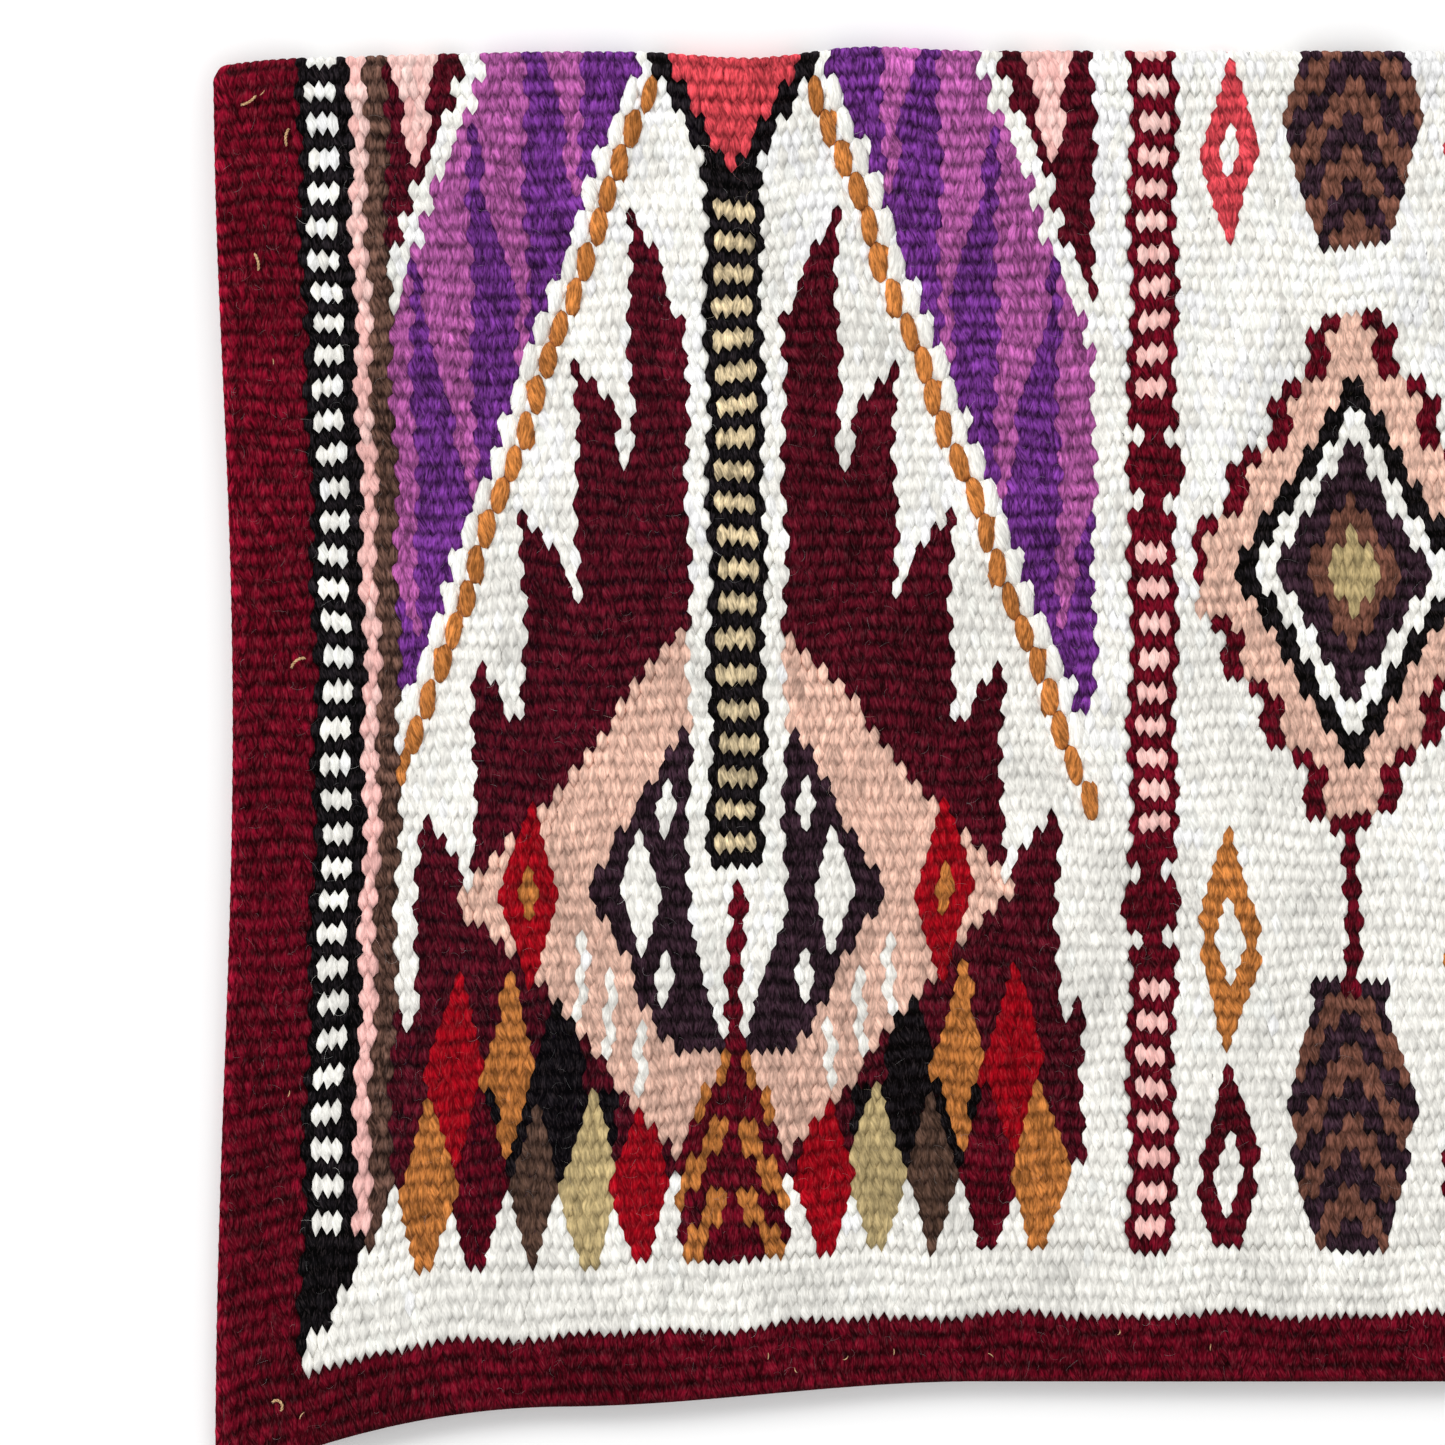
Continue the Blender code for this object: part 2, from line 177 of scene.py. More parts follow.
# Dyed wools: colour, then how strongly light and dark fibres streak it
YARNS = {
    "burgundy": ("#550415", 0.94), "wine": ("#430714", 0.98), "black": ("#050405", 2.30),
    "white": ("#f7f5ee", 0.19), "pink": ("#fdc4bd", 0.24), "taupe": ("#543c33", 0.86),
    "purple": ("#5c2870", 0.84), "orchid": ("#a05290", 0.62), "coral": ("#c8424b", 0.60),
    "crimson": ("#960414", 0.56), "peach": ("#e6bba8", 0.34), "orange": ("#b87238", 0.56),
    "tan": ("#c8b591", 0.58), "aubergine": ("#281821", 1.10), "khaki": ("#bba677", 0.36),
    "umber": ("#523c31", 0.70), "rust": ("#6e4639", 0.60),
}
NAMES = list(YARNS)
COLOURS = np.array([[*linear(code), fleck] for code, fleck in YARNS.values()])


def smooth(low, high, value):
    """Smoothstep of value from low to high."""
    t = np.clip((value - low) / (high - low), 0, 1)
    return t * t * (3 - 2 * t)


# How far the fold line stands forward of or behind straight: (run, forward, half width)
FOLD_LINE = [
    (-0.432, -0.0031, 0.085), (-0.432, -0.0024, 0.016), (-0.225, -0.0030, 0.030), (-0.190, 0.0022, 0.028),
    (0.10, -0.0012, 0.05), (0.21, 0.0014, 0.04), (0.432, -0.0050, 0.09),
]
FOLD_LINE_FADES = 0.16

# Slow waves of the weave, and SWELL, whose product lifts the near side: how strong, how many radians a metre
# along run and across, and where each starts
RIB_WAVES = ((1, 83, 31, 0), (0.7, 151, -57, 1.7))
GRAIN_WAVES = ((0.8, 23, 97, 0.4),)
SWELL = ((1, 19, 0, 1.1), (1, 0, 15, 0.6), (1, 7, -9, math.pi / 2))
HELD_EDGE = 0.02
HELD_FOLD = (0.01, 0.03)
LIFT_FROM, LIFT_TO = 0.02, 0.10


def waves(table, run, across):
    """The sum of a table's sine waves over the cloth."""
    return sum(size * np.sin(run * u + across * v + start) for size, u, v, start in table)


def place(run, drop):
    """The flat cut's (run, drop) drawn out of true: in at the waist, down at the hem's ends."""
    side = abs(run) / HALF_LENGTH
    down = drop / DROP
    drawn_in = WAIST * np.sin(math.pi * np.minimum(down, 1)) ** 2 * side ** 2
    corner = np.maximum(0, 1 - (HALF_LENGTH - abs(run)) / CORNER_SPAN)
    slack = HEM_SWAY * smooth(SWAY_FROM, SWAY_TO, abs(run)) + CORNER_DROOP * corner ** 2
    return run - np.sign(run) * drawn_in, drop + slack * down ** 4


def round_corners(run, drop):
    """Square corners turned to quarter discs: each share of the corner square times the root of one minus
    half the other's square. At the fold the ends draw in by a quarter circle seen from above: its radius
    less the root of the radius squared less what is left squared."""
    s = np.clip((abs(run) - (HALF_LENGTH - CORNER_RADIUS)) / CORNER_RADIUS, 0, None)
    t = np.clip((drop - (DROP - CORNER_RADIUS)) / CORNER_RADIUS, 0, None)
    run = run - np.sign(run) * CORNER_RADIUS * s * (1 - np.sqrt(1 - np.minimum(t, 1) ** 2 / 2))
    drop = drop - CORNER_RADIUS * t * (1 - np.sqrt(1 - np.minimum(s, 1) ** 2 / 2))
    turn = np.minimum(drop / MID_RADIUS, math.pi / 2)
    below_edge = OUTER_RADIUS * (1 - np.cos(turn)) + np.maximum(0, drop - MID_RADIUS * math.pi / 2)
    rest = np.maximum(0, FOLD_CORNER_RADIUS - FOLD_CORNER_CUT - below_edge)
    drawn = FOLD_CORNER_RADIUS - np.sqrt(FOLD_CORNER_RADIUS ** 2 - rest ** 2)
    near_end = np.clip(1 - (HALF_LENGTH - abs(run)) / FOLD_CORNER_SPAN, 0, 1)
    return run - np.sign(run) * drawn * near_end ** 2, drop


def lay(run, across, height):
    """A point of the cloth in the row frame. across is the way from the fold, + on the near side. Out to half
    the bend it goes round the fold's centre at the mid radius plus height; past that it goes straight on."""
    inset = np.minimum(HALF_LENGTH - abs(run), DROP - abs(across))
    free = smooth(0, HELD_EDGE, inset) * RIB_WANDERS
    across = across + free * smooth(*HELD_FOLD, abs(across)) * waves(RIB_WAVES, run, across)
    run = run + free * waves(GRAIN_WAVES, run, across)
    run, drop = round_corners(run, abs(across))
    run, drop = place(run, drop)
    way = np.sign(across) * drop
    angle = np.clip(BEND / 2 + way / MID_RADIUS, 0, BEND) - math.pi / 2
    past = np.maximum(0, abs(way) - HALF_ARC)
    swell = math.prod(waves([wave], run, way) for wave in SWELL)
    lift = LIFT * smooth(LIFT_FROM, LIFT_TO, way) * (1 + swell) / 2
    reach = MID_RADIUS + height + lift
    forward = np.where(way > 0, 1, -1)
    fold_line = sum(rise * np.exp(-((run - at) / spread) ** 2) for at, rise, spread in FOLD_LINE)
    fold_line = fold_line * (1 - smooth(0, FOLD_LINE_FADES, drop))
    y = FOLD_Y + reach * np.cos(angle) - forward * past * np.sin(angle) + fold_line
    z = FOLD_Z + reach * np.sin(angle) + forward * past * np.cos(angle)
    return np.stack([run, y, z], axis=-1)


# Every grain of the blanket. row counts ribs from the fold, column half grains from the middle
rows = np.arange(-RIBS, RIBS)
ROW, COLUMN = np.meshgrid(rows, np.arange(-GRAINS, GRAINS + 1), indexing="ij")
kept = (ROW + COLUMN) % 2 == 1
ROW, COLUMN = ROW[kept], COLUMN[kept]
RUN = COLUMN * GRAIN / 2
SIDEWAYS = abs(COLUMN) / 2
RANK = np.where(ROW >= 0, ROW, -1 - ROW)
FALL = (RANK + 0.5) * RIB
COUNT = len(ROW)


def inside(across, down, half_width, half_height):
    """How many grains a place lies inside a diamond's edge: its half width there, less the way across."""
    return half_width * (1 - abs(down) / half_height) - abs(across)


def lozenge(across, down, at, fall, half_width, half_height):
    """The places in a lozenge whose middle is the way at across and the way fall down."""
    return inside(across - at, down - fall, half_width, half_height) > 0


def tooth(away, pitch, height, start):
    """Teeth along an edge: each falls straight by its height, then climbs back in steps of two ribs."""
    phase = ((away - start) / pitch) % 1
    return np.round(height * (1 - phase) / 2) * 2


# The plan counts in grains away from a field's middle line and in ranks, the ribs down from the fold
AXIS = np.round(2 * DIAMOND_AXIS / GRAIN) / 2
# The ranks taken two by two, as a weaver steps a slanting edge: the line between each pair
BEAD_RANK = 2 * np.floor(RANK / 2) + 1
SLANT = 0.625
APEX = 6.4
WINE_TEETH = (5.4, 15, 4.9)
WINE_ROOT = 3
PURPLE_WIDTH = 17
PURPLE_FOOT = 39
ORCHID_TEETH = (5.6, 26, 3.6)
ORCHID_ROOT = -2
WHITE_BEADS_WIDTH = 2
ORANGE_HALF_WIDTH = 0.5
OUTLINE_WIDTH = 2.3
CORNER_FLAME = (31, 0, 2.1, 8.4)
WHITE_EDGE = 35.2
DIAMOND_ROW = int(DIAMOND_DROP / RIB)
CENTRE_ROW = int(CENTRE_DIAMOND_DROP / RIB)


def draw_slants(paint, away):
    """The bands slanting down from the fold beside a ladder: wine and white flames, orange and white beads,
    purple with orchid flames, white beads, and a pink flame in the wine corner."""
    past_line = away - APEX - SLANT * BEAD_RANK
    past_band = past_line - PURPLE_WIDTH
    under = RANK - (away - APEX) / SLANT
    over = RANK - (away - APEX - PURPLE_WIDTH) / SLANT
    purple = (past_line >= 0) & (past_band < 0)
    paint(True, "wine")
    paint((past_line < 0) & (under < WINE_ROOT + tooth(away, *WINE_TEETH)), "white")
    paint(purple, "purple")
    paint(purple & (over < ORCHID_ROOT + tooth(away, *ORCHID_TEETH)), "orchid")
    paint((past_line >= 0) & (RANK > PURPLE_FOOT), "white")
    paint((past_band >= 0) & (past_band < WHITE_BEADS_WIDTH), "white")
    corner = past_band >= WHITE_BEADS_WIDTH
    paint(corner & lozenge(away, RANK, *CORNER_FLAME), "pink")
    paint((past_line >= -ORANGE_HALF_WIDTH) & (past_line < ORANGE_HALF_WIDTH), "orange")
    paint((past_line >= ORANGE_HALF_WIDTH) & (past_line < OUTLINE_WIDTH), "white")
    paint(away > WHITE_EDGE, "white")


# The foot's lozenges, each FOOT_PITCH grains from the last: a row's first middle, its rank and colours
FOOT_LOZENGE = (2.8, 6.0)
FOOT_PITCH = 5.2
FOOT_ROWS = (
    (9.1, 67, ("crimson", "khaki", "umber", "burgundy", "orange")),
    (16.9, 60, ("black", "orange", "crimson")),
)
BLACK_FOOT = (11.5, 31)
BLACK_FOOT_RANKS = (62, 67)
FOOT_EDGE, FOOT_EDGE_RANK = 34.2, 50


def draw_foot(paint, away):
    """Two rows of lozenges, black between them and white below."""
    first, last = BLACK_FOOT_RANKS
    paint((RANK >= first) & (away > BLACK_FOOT[0]) & (away < BLACK_FOOT[1]), "black")
    paint(RANK >= last, "white")
    paint((away > FOOT_EDGE) & (RANK > FOOT_EDGE_RANK), "white")
    for start, rank, hues in FOOT_ROWS:
        for i, hue in enumerate(hues):
            paint(lozenge(away - FOOT_PITCH * i, RANK, start, rank, *FOOT_LOZENGE), hue)


# Inside the peach diamond: the aubergine one, each hand's lozenges (colour, middle, rank, half sizes), and
# its lines of white beads
AUBERGINE_DIAMOND = (14.9, 15.2)
AUBERGINE_RISE = 9.6
DIAMOND_LOZENGES = (
    ("white", 9.5, 0, 2.2, 4.84), ("white", 7.0, -5, 1.1, 2.42), ("white", 7.0, 5, 1.1, 2.42),
    ("crimson", 20.5, 0, 2.8, 5.6), ("orange", 20.5, 0, 1.1, 2.4),
)
DIAMOND_BEADS = (9.25, 12.25, 15.25)
BEADS_CLEAR_INNER, BEADS_CLEAR_OUTER, BEADS_FROM = -1.5, 1.2, 2


def draw_diamond(paint, across):
    """A peach diamond, in it an aubergine one with white lozenges, two lozenges at its sides, and short lines
    of white beads below."""
    down = RANK - DIAMOND_ROW
    depth = inside(across, down, DIAMOND_HALF_WIDTH / GRAIN, DIAMOND_HALF_HEIGHT / RIB)
    paint(depth > 0, "peach")
    inner = inside(across, down, *AUBERGINE_DIAMOND)
    paint((inner > 0) & (abs(down) < AUBERGINE_RISE), "aubergine")
    for hue, at, *rest in DIAMOND_LOZENGES:
        paint(lozenge(across, down, -at, *rest) | lozenge(across, down, at, *rest), hue)
    for offset in DIAMOND_BEADS:
        beads = (abs(abs(across) - offset) < 0.5) & (down > BEADS_FROM)
        paint(beads & (inner < BEADS_CLEAR_INNER) & (depth > BEADS_CLEAR_OUTER), "white")


LADDER_FOOT = 49
LADDER_MARGIN = 1.9
LADDER_POINT = 9.5
TAN_DASH = 2.0
TRIANGLE_BLACK, TRIANGLE_CORAL = 9.1, 7.1
STALK = 0.6
STALK_FOOT = 62
EAR_TOP = 59
EAR_SPREAD = 0.8
EAR_WIDTH = 5.2
BARB_SLOPE = 0.9


def barbs(away, rank):
    """Slanting stripes, two ribs on and two off, that rise away from the middle line."""
    return (rank - np.floor(away * BARB_SLOPE)) % 4 < 2


def draw_ladder(paint, away):
    """A black ladder of tan dashes under a coral triangle, white beside it, and below the diamond a stalk
    feathered like an ear of grass."""
    half = TAN_LADDER_WIDTH / GRAIN / 2
    white_half = half + LADDER_MARGIN
    paint((away < white_half) & (RANK < LADDER_FOOT + 2), "white")
    paint(lozenge(away, RANK, 0, LADDER_FOOT + 2, white_half, LADDER_POINT), "white")
    paint((away < half) & (RANK < LADDER_FOOT), "black")
    paint((away < TAN_DASH) & (RANK % 2 == 1) & (RANK < LADDER_FOOT - 1), "tan")
    for hue, half_width in (("black", TRIANGLE_BLACK), ("coral", TRIANGLE_CORAL)):
        paint(away < half_width - BEAD_RANK, hue)
    paint((away < STALK) & (RANK > LADDER_FOOT) & (RANK < STALK_FOOT), "burgundy")
    ear = (RANK >= EAR_TOP) & (RANK < FIELD_FOOT / RIB - 1)
    ear &= (away < STALK + (RANK - EAR_TOP) * EAR_SPREAD) & (away < EAR_WIDTH)
    paint(ear, "burgundy")
    paint(ear & barbs(away, RANK + 1) & (away > STALK), "orange")


# The centre field: rings as least depth and colour, feathers as first and last rank and colours, and corner
# lozenges as rank and colour
RINGS = (
    (0.2, "burgundy"), (2.2, "peach"), (5.3, "black"), (7.2, "white"), (9.2, "aubergine"), (12.2, "rust"),
    (14.2, "khaki"),
)
TOOTHED_DEPTH = 3
TOOTH = 1.5
FEATHERS = ((-3, 11, "rust", "aubergine"), (56, 71, "aubergine", "rust"))
FEATHER_WIDTH = 6.6
FEATHER_SLOPE = 0.4
FEATHER_STALK_RANKS = (49, 57)
CORNER_LOZENGES = ((6, "coral"), (53, "orange"), (67, "burgundy"))
CORNER_MIDDLE = 12.0
CORNER_SIZE, CORNER_EYE = (3.0, 6.2), (1.1, 2.4)


def draw_centre(paint):
    """Between the pink ladders: white ground, the ringed diamond with a toothed edge, a feather above and one
    below it, and lozenges in the corners."""
    paint(True, "white")
    depth = PINK_INNER / GRAIN - abs(RANK - CENTRE_ROW) - SIDEWAYS
    teeth = TOOTH * (RANK % 4 < 2)
    for least, hue in RINGS:
        paint(depth + teeth * (least < TOOTHED_DEPTH) > least, hue)
    for top, foot, ground, stripe in FEATHERS:
        body = (RANK >= top) & (RANK <= foot)
        body &= SIDEWAYS < FEATHER_WIDTH - abs(RANK - (top + foot) / 2) * FEATHER_SLOPE
        paint(body, ground)
        paint(body & barbs(SIDEWAYS, RANK), stripe)
    first, last = FEATHER_STALK_RANKS
    paint((SIDEWAYS < STALK) & (RANK > first) & (RANK < last), "burgundy")
    for rank, hue in CORNER_LOZENGES:
        paint(lozenge(SIDEWAYS, RANK, CORNER_MIDDLE, rank, *CORNER_SIZE), hue)
        paint(lozenge(SIDEWAYS, RANK, CORNER_MIDDLE, rank, *CORNER_EYE), "white")


PINK_DASH, PINK_MARGIN = 1.9, 1.6
KNOT_RANKS = (25, 51)
KNOT = (2.9, 3.4)
KNOT_MARGIN, KNOT_RISE = 2.5, 3
BEAD_NOTCH = 0.55
WHITE_DASH = 1.6
MITRE_TIP = 1.6


def mitre_line(away):
    """How far down the hem band's mitre starts, on its way from the field's edge out to the border."""
    return BORDER_TOP - MITRE_RISE * (BORDER_INNER - away) / (BORDER_INNER - FIELD_EDGE)


def draw_bands(paint):
    """Pink ladder, ladder of white dashes, bead line, brown line, white hem band, plain border."""
    half = PINK_LADDER_WIDTH / GRAIN / 2
    middle = (PINK_OUTER + PINK_INNER) / 2 / GRAIN
    pink = abs(SIDEWAYS - middle)
    paint(pink < half + PINK_MARGIN, "white")
    paint(pink < half, "burgundy")
    paint((pink < PINK_DASH) & (RANK % 2 == 0), "pink")
    for rank in KNOT_RANKS:
        paint((pink < half + KNOT_MARGIN) & (abs(RANK - rank) < KNOT_RISE), "white")
        paint(lozenge(SIDEWAYS, RANK, middle, rank, *KNOT), "burgundy")

    bead_inner, bead_outer, border = BEAD_INNER / GRAIN, LADDER_INNER / GRAIN, BORDER_INNER / GRAIN
    past = SIDEWAYS - bead_inner
    paint(SIDEWAYS >= FIELD_EDGE / GRAIN, "taupe")
    paint((past >= 0) & (SIDEWAYS < bead_outer), "pink")
    paint(SIDEWAYS >= bead_outer, "black")
    paint((RANK % 2 == 1) & (past >= 0) & (past < BEAD_NOTCH), "taupe")
    from_middle = abs(SIDEWAYS - (border + bead_outer) / 2)
    dash = (from_middle < WHITE_DASH) & (RANK % 2 == 0) & (FALL < MITRE_TOP + RIB)
    paint(dash & (SIDEWAYS < border), "white")
    paint((FALL > MITRE_TOP + RIB) & (past >= 0) & (SIDEWAYS < border), "black")

    paint((FALL > BORDER_TOP) | (abs(RUN) > BORDER_INNER), "burgundy")
    hem = (FALL > FIELD_FOOT) & (FALL < BORDER_TOP) & (abs(RUN) < FIELD_EDGE)
    tip = (FALL > BORDER_TOP - 2 * RIB) * MITRE_TIP * GRAIN
    mitre = (FALL > mitre_line(abs(RUN)) - tip) & (FALL < BORDER_TOP) & (abs(RUN) >= FIELD_EDGE)
    paint(hem | (mitre & (abs(RUN) < BORDER_INNER + tip)), "white")


def draw_cartoon():
    """The weaver's plan, alike on both halves and sides: each grain's colour, painted area over area."""
    colour = np.full(COUNT, NAMES.index("white"))

    def brush(within):
        """A brush that paints only within one part of the blanket."""
        def paint(where, name):
            colour[within & where] = NAMES.index(name)
        return paint

    across = SIDEWAYS - AXIS
    on_field = brush((SIDEWAYS < FIELD_EDGE / GRAIN) & (SIDEWAYS > PINK_OUTER / GRAIN))
    draw_slants(on_field, abs(across))
    draw_foot(on_field, abs(across))
    draw_diamond(on_field, across)
    draw_ladder(on_field, abs(across))
    draw_centre(brush(SIDEWAYS < PINK_INNER / GRAIN))
    draw_bands(brush(True))
    return colour


# A grain's neighbours, in ribs and half grains: the two beside it, then the four it meets in other ribs
NEIGHBOURS = ((0, -2), (0, 2), (-1, -1), (-1, 1), (1, -1), (1, 1))


def without_strays(colour):
    """The plan with every lone grain given the colour of the grain on its inner side, as nobody starts a
    yarn for one grain."""
    grid = np.full((2 * RIBS + 2, 2 * GRAINS + 5), -1)
    row, column = ROW + RIBS + 1, COLUMN + GRAINS + 2
    grid[row, column] = colour
    around = np.stack([grid[row + down, column + over] for down, over in NEIGHBOURS])
    lone = ~(around == colour).any(axis=0)
    return np.where(lone, np.where(COLUMN > 0, around[0], around[1]), colour)


PLAN = without_strays(draw_cartoon())
tint, fleck = np.split(COLOURS[PLAN], [3], axis=1)
unlike = LEAST_UNLIKE + fleck
shade = 1 + SHADE_VARIES * unlike * rng.standard_normal(COUNT)[:, None]
drift = np.sin(COLUMN * DRIFT_ALONG + DRIFT_SWAYS * np.sin(ROW * DRIFT_DOWN))
drift = 1 + DRIFT_VARIES * unlike * drift[:, None]
tint = tint * np.clip(shade * drift, DARKEST_GRAIN, PALEST_GRAIN)
# The dark yarns are darker towards the hem, and paler along both ends, rubbed and with a painted highlight
tint *= 1 + DARKER_TO_HEM * unlike * (DARKER_TO_HEM_PIVOT - FALL / DROP)[:, None]
tint *= 1 + END_WEAR_AND_HIGHLIGHT * unlike * smooth(HALF_LENGTH - END_WEAR_AND_HIGHLIGHT_WIDTH, HALF_LENGTH, abs(RUN))[:, None]
GRAIN_COLOUR = np.hstack([np.clip(tint, 0, HIGHEST_COLOUR), fleck])
GRAIN_CHANCE = rng.random(COUNT)

# Rim points are counted in half grains from the left end and quarter ribs from one hem to the other
HEM = 4 * RIBS
SPAN = 2 * HEM + 1
RIM_SHIFT = rng.uniform(-1, 1, ((2 * GRAINS + 1) * SPAN, 2)) * RIM_WANDERS
FINE_YARN = smooth(*FINE_YARN_FLECKS, fleck)
GRAIN_CREST = CREST_VARIES * rng.standard_normal((COUNT, 2))
GRAIN_SHIFT = GRAIN_WANDERS * np.clip(rng.standard_normal((COUNT, 2)), -2, 2)

# A grain's rim, clockwise from its upper tip, in half grains and quarter ribs; its inner points, a ring and a
# ridge of three; and how far up to the crest each of those stands
RIM = np.array([(0, -3), (1, -1), (1, 0), (1, 1), (0, 3), (-1, 1), (-1, 0), (-1, -1)])
INNER = np.array([
    (0, -2.05), (0.56, -0.9), (0.62, 0), (0.56, 0.9), (0, 2.05), (-0.56, 0.9), (-0.62, 0), (-0.56, -0.9),
    (0, -1.0), (0, 0), (0, 1.0)])
INNER[:, 0] += GRAIN_LEAN * INNER[:, 1] / 2
SHARES = np.array([0.24, 0.62, 0.74, 0.62, 0.24, 0.62, 0.74, 0.62, 0.84, 1.0, 0.84])

# A grain's faces: from rim to ring, then the whole ridge (FINE), its middle (PLAIN) or a flat top (WORN)
first, second = np.arange(8), (np.arange(8) + 1) % 8
BAND = np.concatenate([np.stack([first, second, 8 + second], 1), np.stack([first, 8 + second, 8 + first], 1)])
FINE = np.concatenate([BAND, [
    (8, 9, 16), (9, 10, 17), (9, 17, 16), (10, 11, 18), (10, 18, 17), (11, 12, 18),
    (12, 13, 18), (13, 14, 17), (13, 17, 18), (14, 15, 16), (14, 16, 17), (15, 8, 16)]])
PLAIN = np.concatenate([BAND, np.stack([8 + first, 8 + second, np.full(8, 17)], 1)])
WORN = np.concatenate([BAND, [
    (8, 9, 15), (9, 10, 14), (9, 14, 15), (10, 11, 13), (10, 13, 14), (11, 12, 13)]])


def rim_keys():
    """The eight rim points of every grain as numbers that neighbours share, held at the hem and the ends."""
    x, y = COLUMN[:, None] + RIM[:, 0], 4 * ROW[:, None] + 2 + RIM[:, 1]
    hemmed = (abs(ROW[:, None] + 0.5) > RIBS - 1) & (abs(y) > HEM - 2)
    y = np.where(hemmed, np.sign(y) * HEM, y)
    return (np.clip(x, -GRAINS, GRAINS) + GRAINS) * SPAN + y + HEM


RIM_KEYS = rim_keys()
shared = np.bincount(RIM_KEYS.ravel(), minlength=len(RIM_SHIFT))
fine = np.bincount(RIM_KEYS.ravel(), np.repeat(FINE_YARN, 8), len(RIM_SHIFT))
RIM_FINE = fine / np.maximum(shared, 1)


def skin(chosen, outward, faces):
    """One face of the cloth over the chosen grains: each grain's rim points, all points' run, across, height
    and crest, the faces, and the grain of each face. outward is 1 for the outer face, -1 for the inner."""
    column, row = COLUMN[chosen, None], ROW[chosen, None]
    inner_x = (column + INNER[:, 0]) * GRAIN / 2 + GRAIN_SHIFT[chosen, :1]
    inner_y = (4 * row + 2 + INNER[:, 1]) * RIB / 4 + GRAIN_SHIFT[chosen, 1:]
    ended = np.sign(column) * END_RUN + INNER[:, 0] * GRAIN / 8
    hemmed = (4 * row + 2 + INNER[:, 1] * HEM_GRAIN) * RIB / 4
    inner_x = np.where(abs(column) == GRAINS, ended, inner_x)
    inner_y = np.where(abs(row + 0.5) > RIBS - 1, hemmed, inner_y)
    found, index = np.unique(RIM_KEYS[chosen], return_inverse=True)
    index = index.reshape(-1, 8)
    fine = RIM_FINE[found]
    quarter = (found % SPAN - HEM) % 4
    rim_x = (found // SPAN - GRAINS) * GRAIN / 2
    rim_y = (found % SPAN - HEM) * RIB / 4
    free = (abs(rim_x) < END_RUN) & (abs(rim_y) < DROP - RIB / 4)
    to_valley = np.select([quarter == 1, quarter == 3], [-1, 1], 0) * FINE_YARN_STRAIGHTENS * fine
    rim_x = rim_x + RIM_SHIFT[found, 0] * free
    rim_y = rim_y + (RIM_SHIFT[found, 1] + to_valley * RIB / 4) * free
    side_depth = CREST_DEPTH_AT_SIDE + (FINE_YARN_CREST - CREST_DEPTH_AT_SIDE) * fine
    tip_depth = CREST_DEPTH_AT_TIP + (FINE_YARN_TIP - CREST_DEPTH_AT_TIP) * fine
    rim_depth = np.where(quarter == 2, side_depth, tip_depth)
    rim_depth = np.where(abs(rim_x) > END_RUN, SELVEDGE_DEPTH, rim_depth)
    wave = GRAIN_CREST[chosen, 0 if outward > 0 else 1][:, None]
    inner_depth = CREST_DEPTH_AT_TIP * (1 - SHARES) - np.minimum(wave, 0) * SHARES
    flat = FINE_YARN[chosen] * FINE_YARN_FLATNESS * (SHARES > FLAT_ABOVE)
    inner_depth = inner_depth + flat * (FINE_YARN_CREST * (SHARES < 1) - inner_depth)
    run = np.concatenate([rim_x, inner_x.ravel()])
    across = np.concatenate([rim_y, inner_y.ravel()])
    height = HALF_THICKNESS - np.concatenate([rim_depth, inner_depth.ravel()])
    # Each point's crest share sets how much painted valley shade it gets: the rims' sides stand partway up
    rim_crest = np.where(quarter == 2, RIM_CREST + RIM_CREST_FINE * fine, 0.0)
    crest = np.concatenate([rim_crest, np.tile(SHARES, len(chosen))])
    numbering = np.hstack([index, len(found) + np.arange(inner_x.size).reshape(inner_x.shape)])
    triangles = numbering[:, faces].reshape(-1, 3)[:, ::-outward]
    return index, run, across, outward * height, crest, triangles, np.repeat(chosen, len(faces))


def rounding(run, across):
    """How much of the thickness is left near the cloth's edge: a quarter circle's height there."""
    inset = np.minimum(HALF_LENGTH - abs(run), DROP - abs(across))
    share = 1 - np.clip(inset / EDGE_ROUNDING, 0, 1)
    left = EDGE_LEFT_SHARE + (FOLD_LEFT_SHARE - EDGE_LEFT_SHARE) * smooth(2 * OUTER_RADIUS, 0, abs(across))
    return left + (1 - left) * np.sqrt(1 - share ** 2)


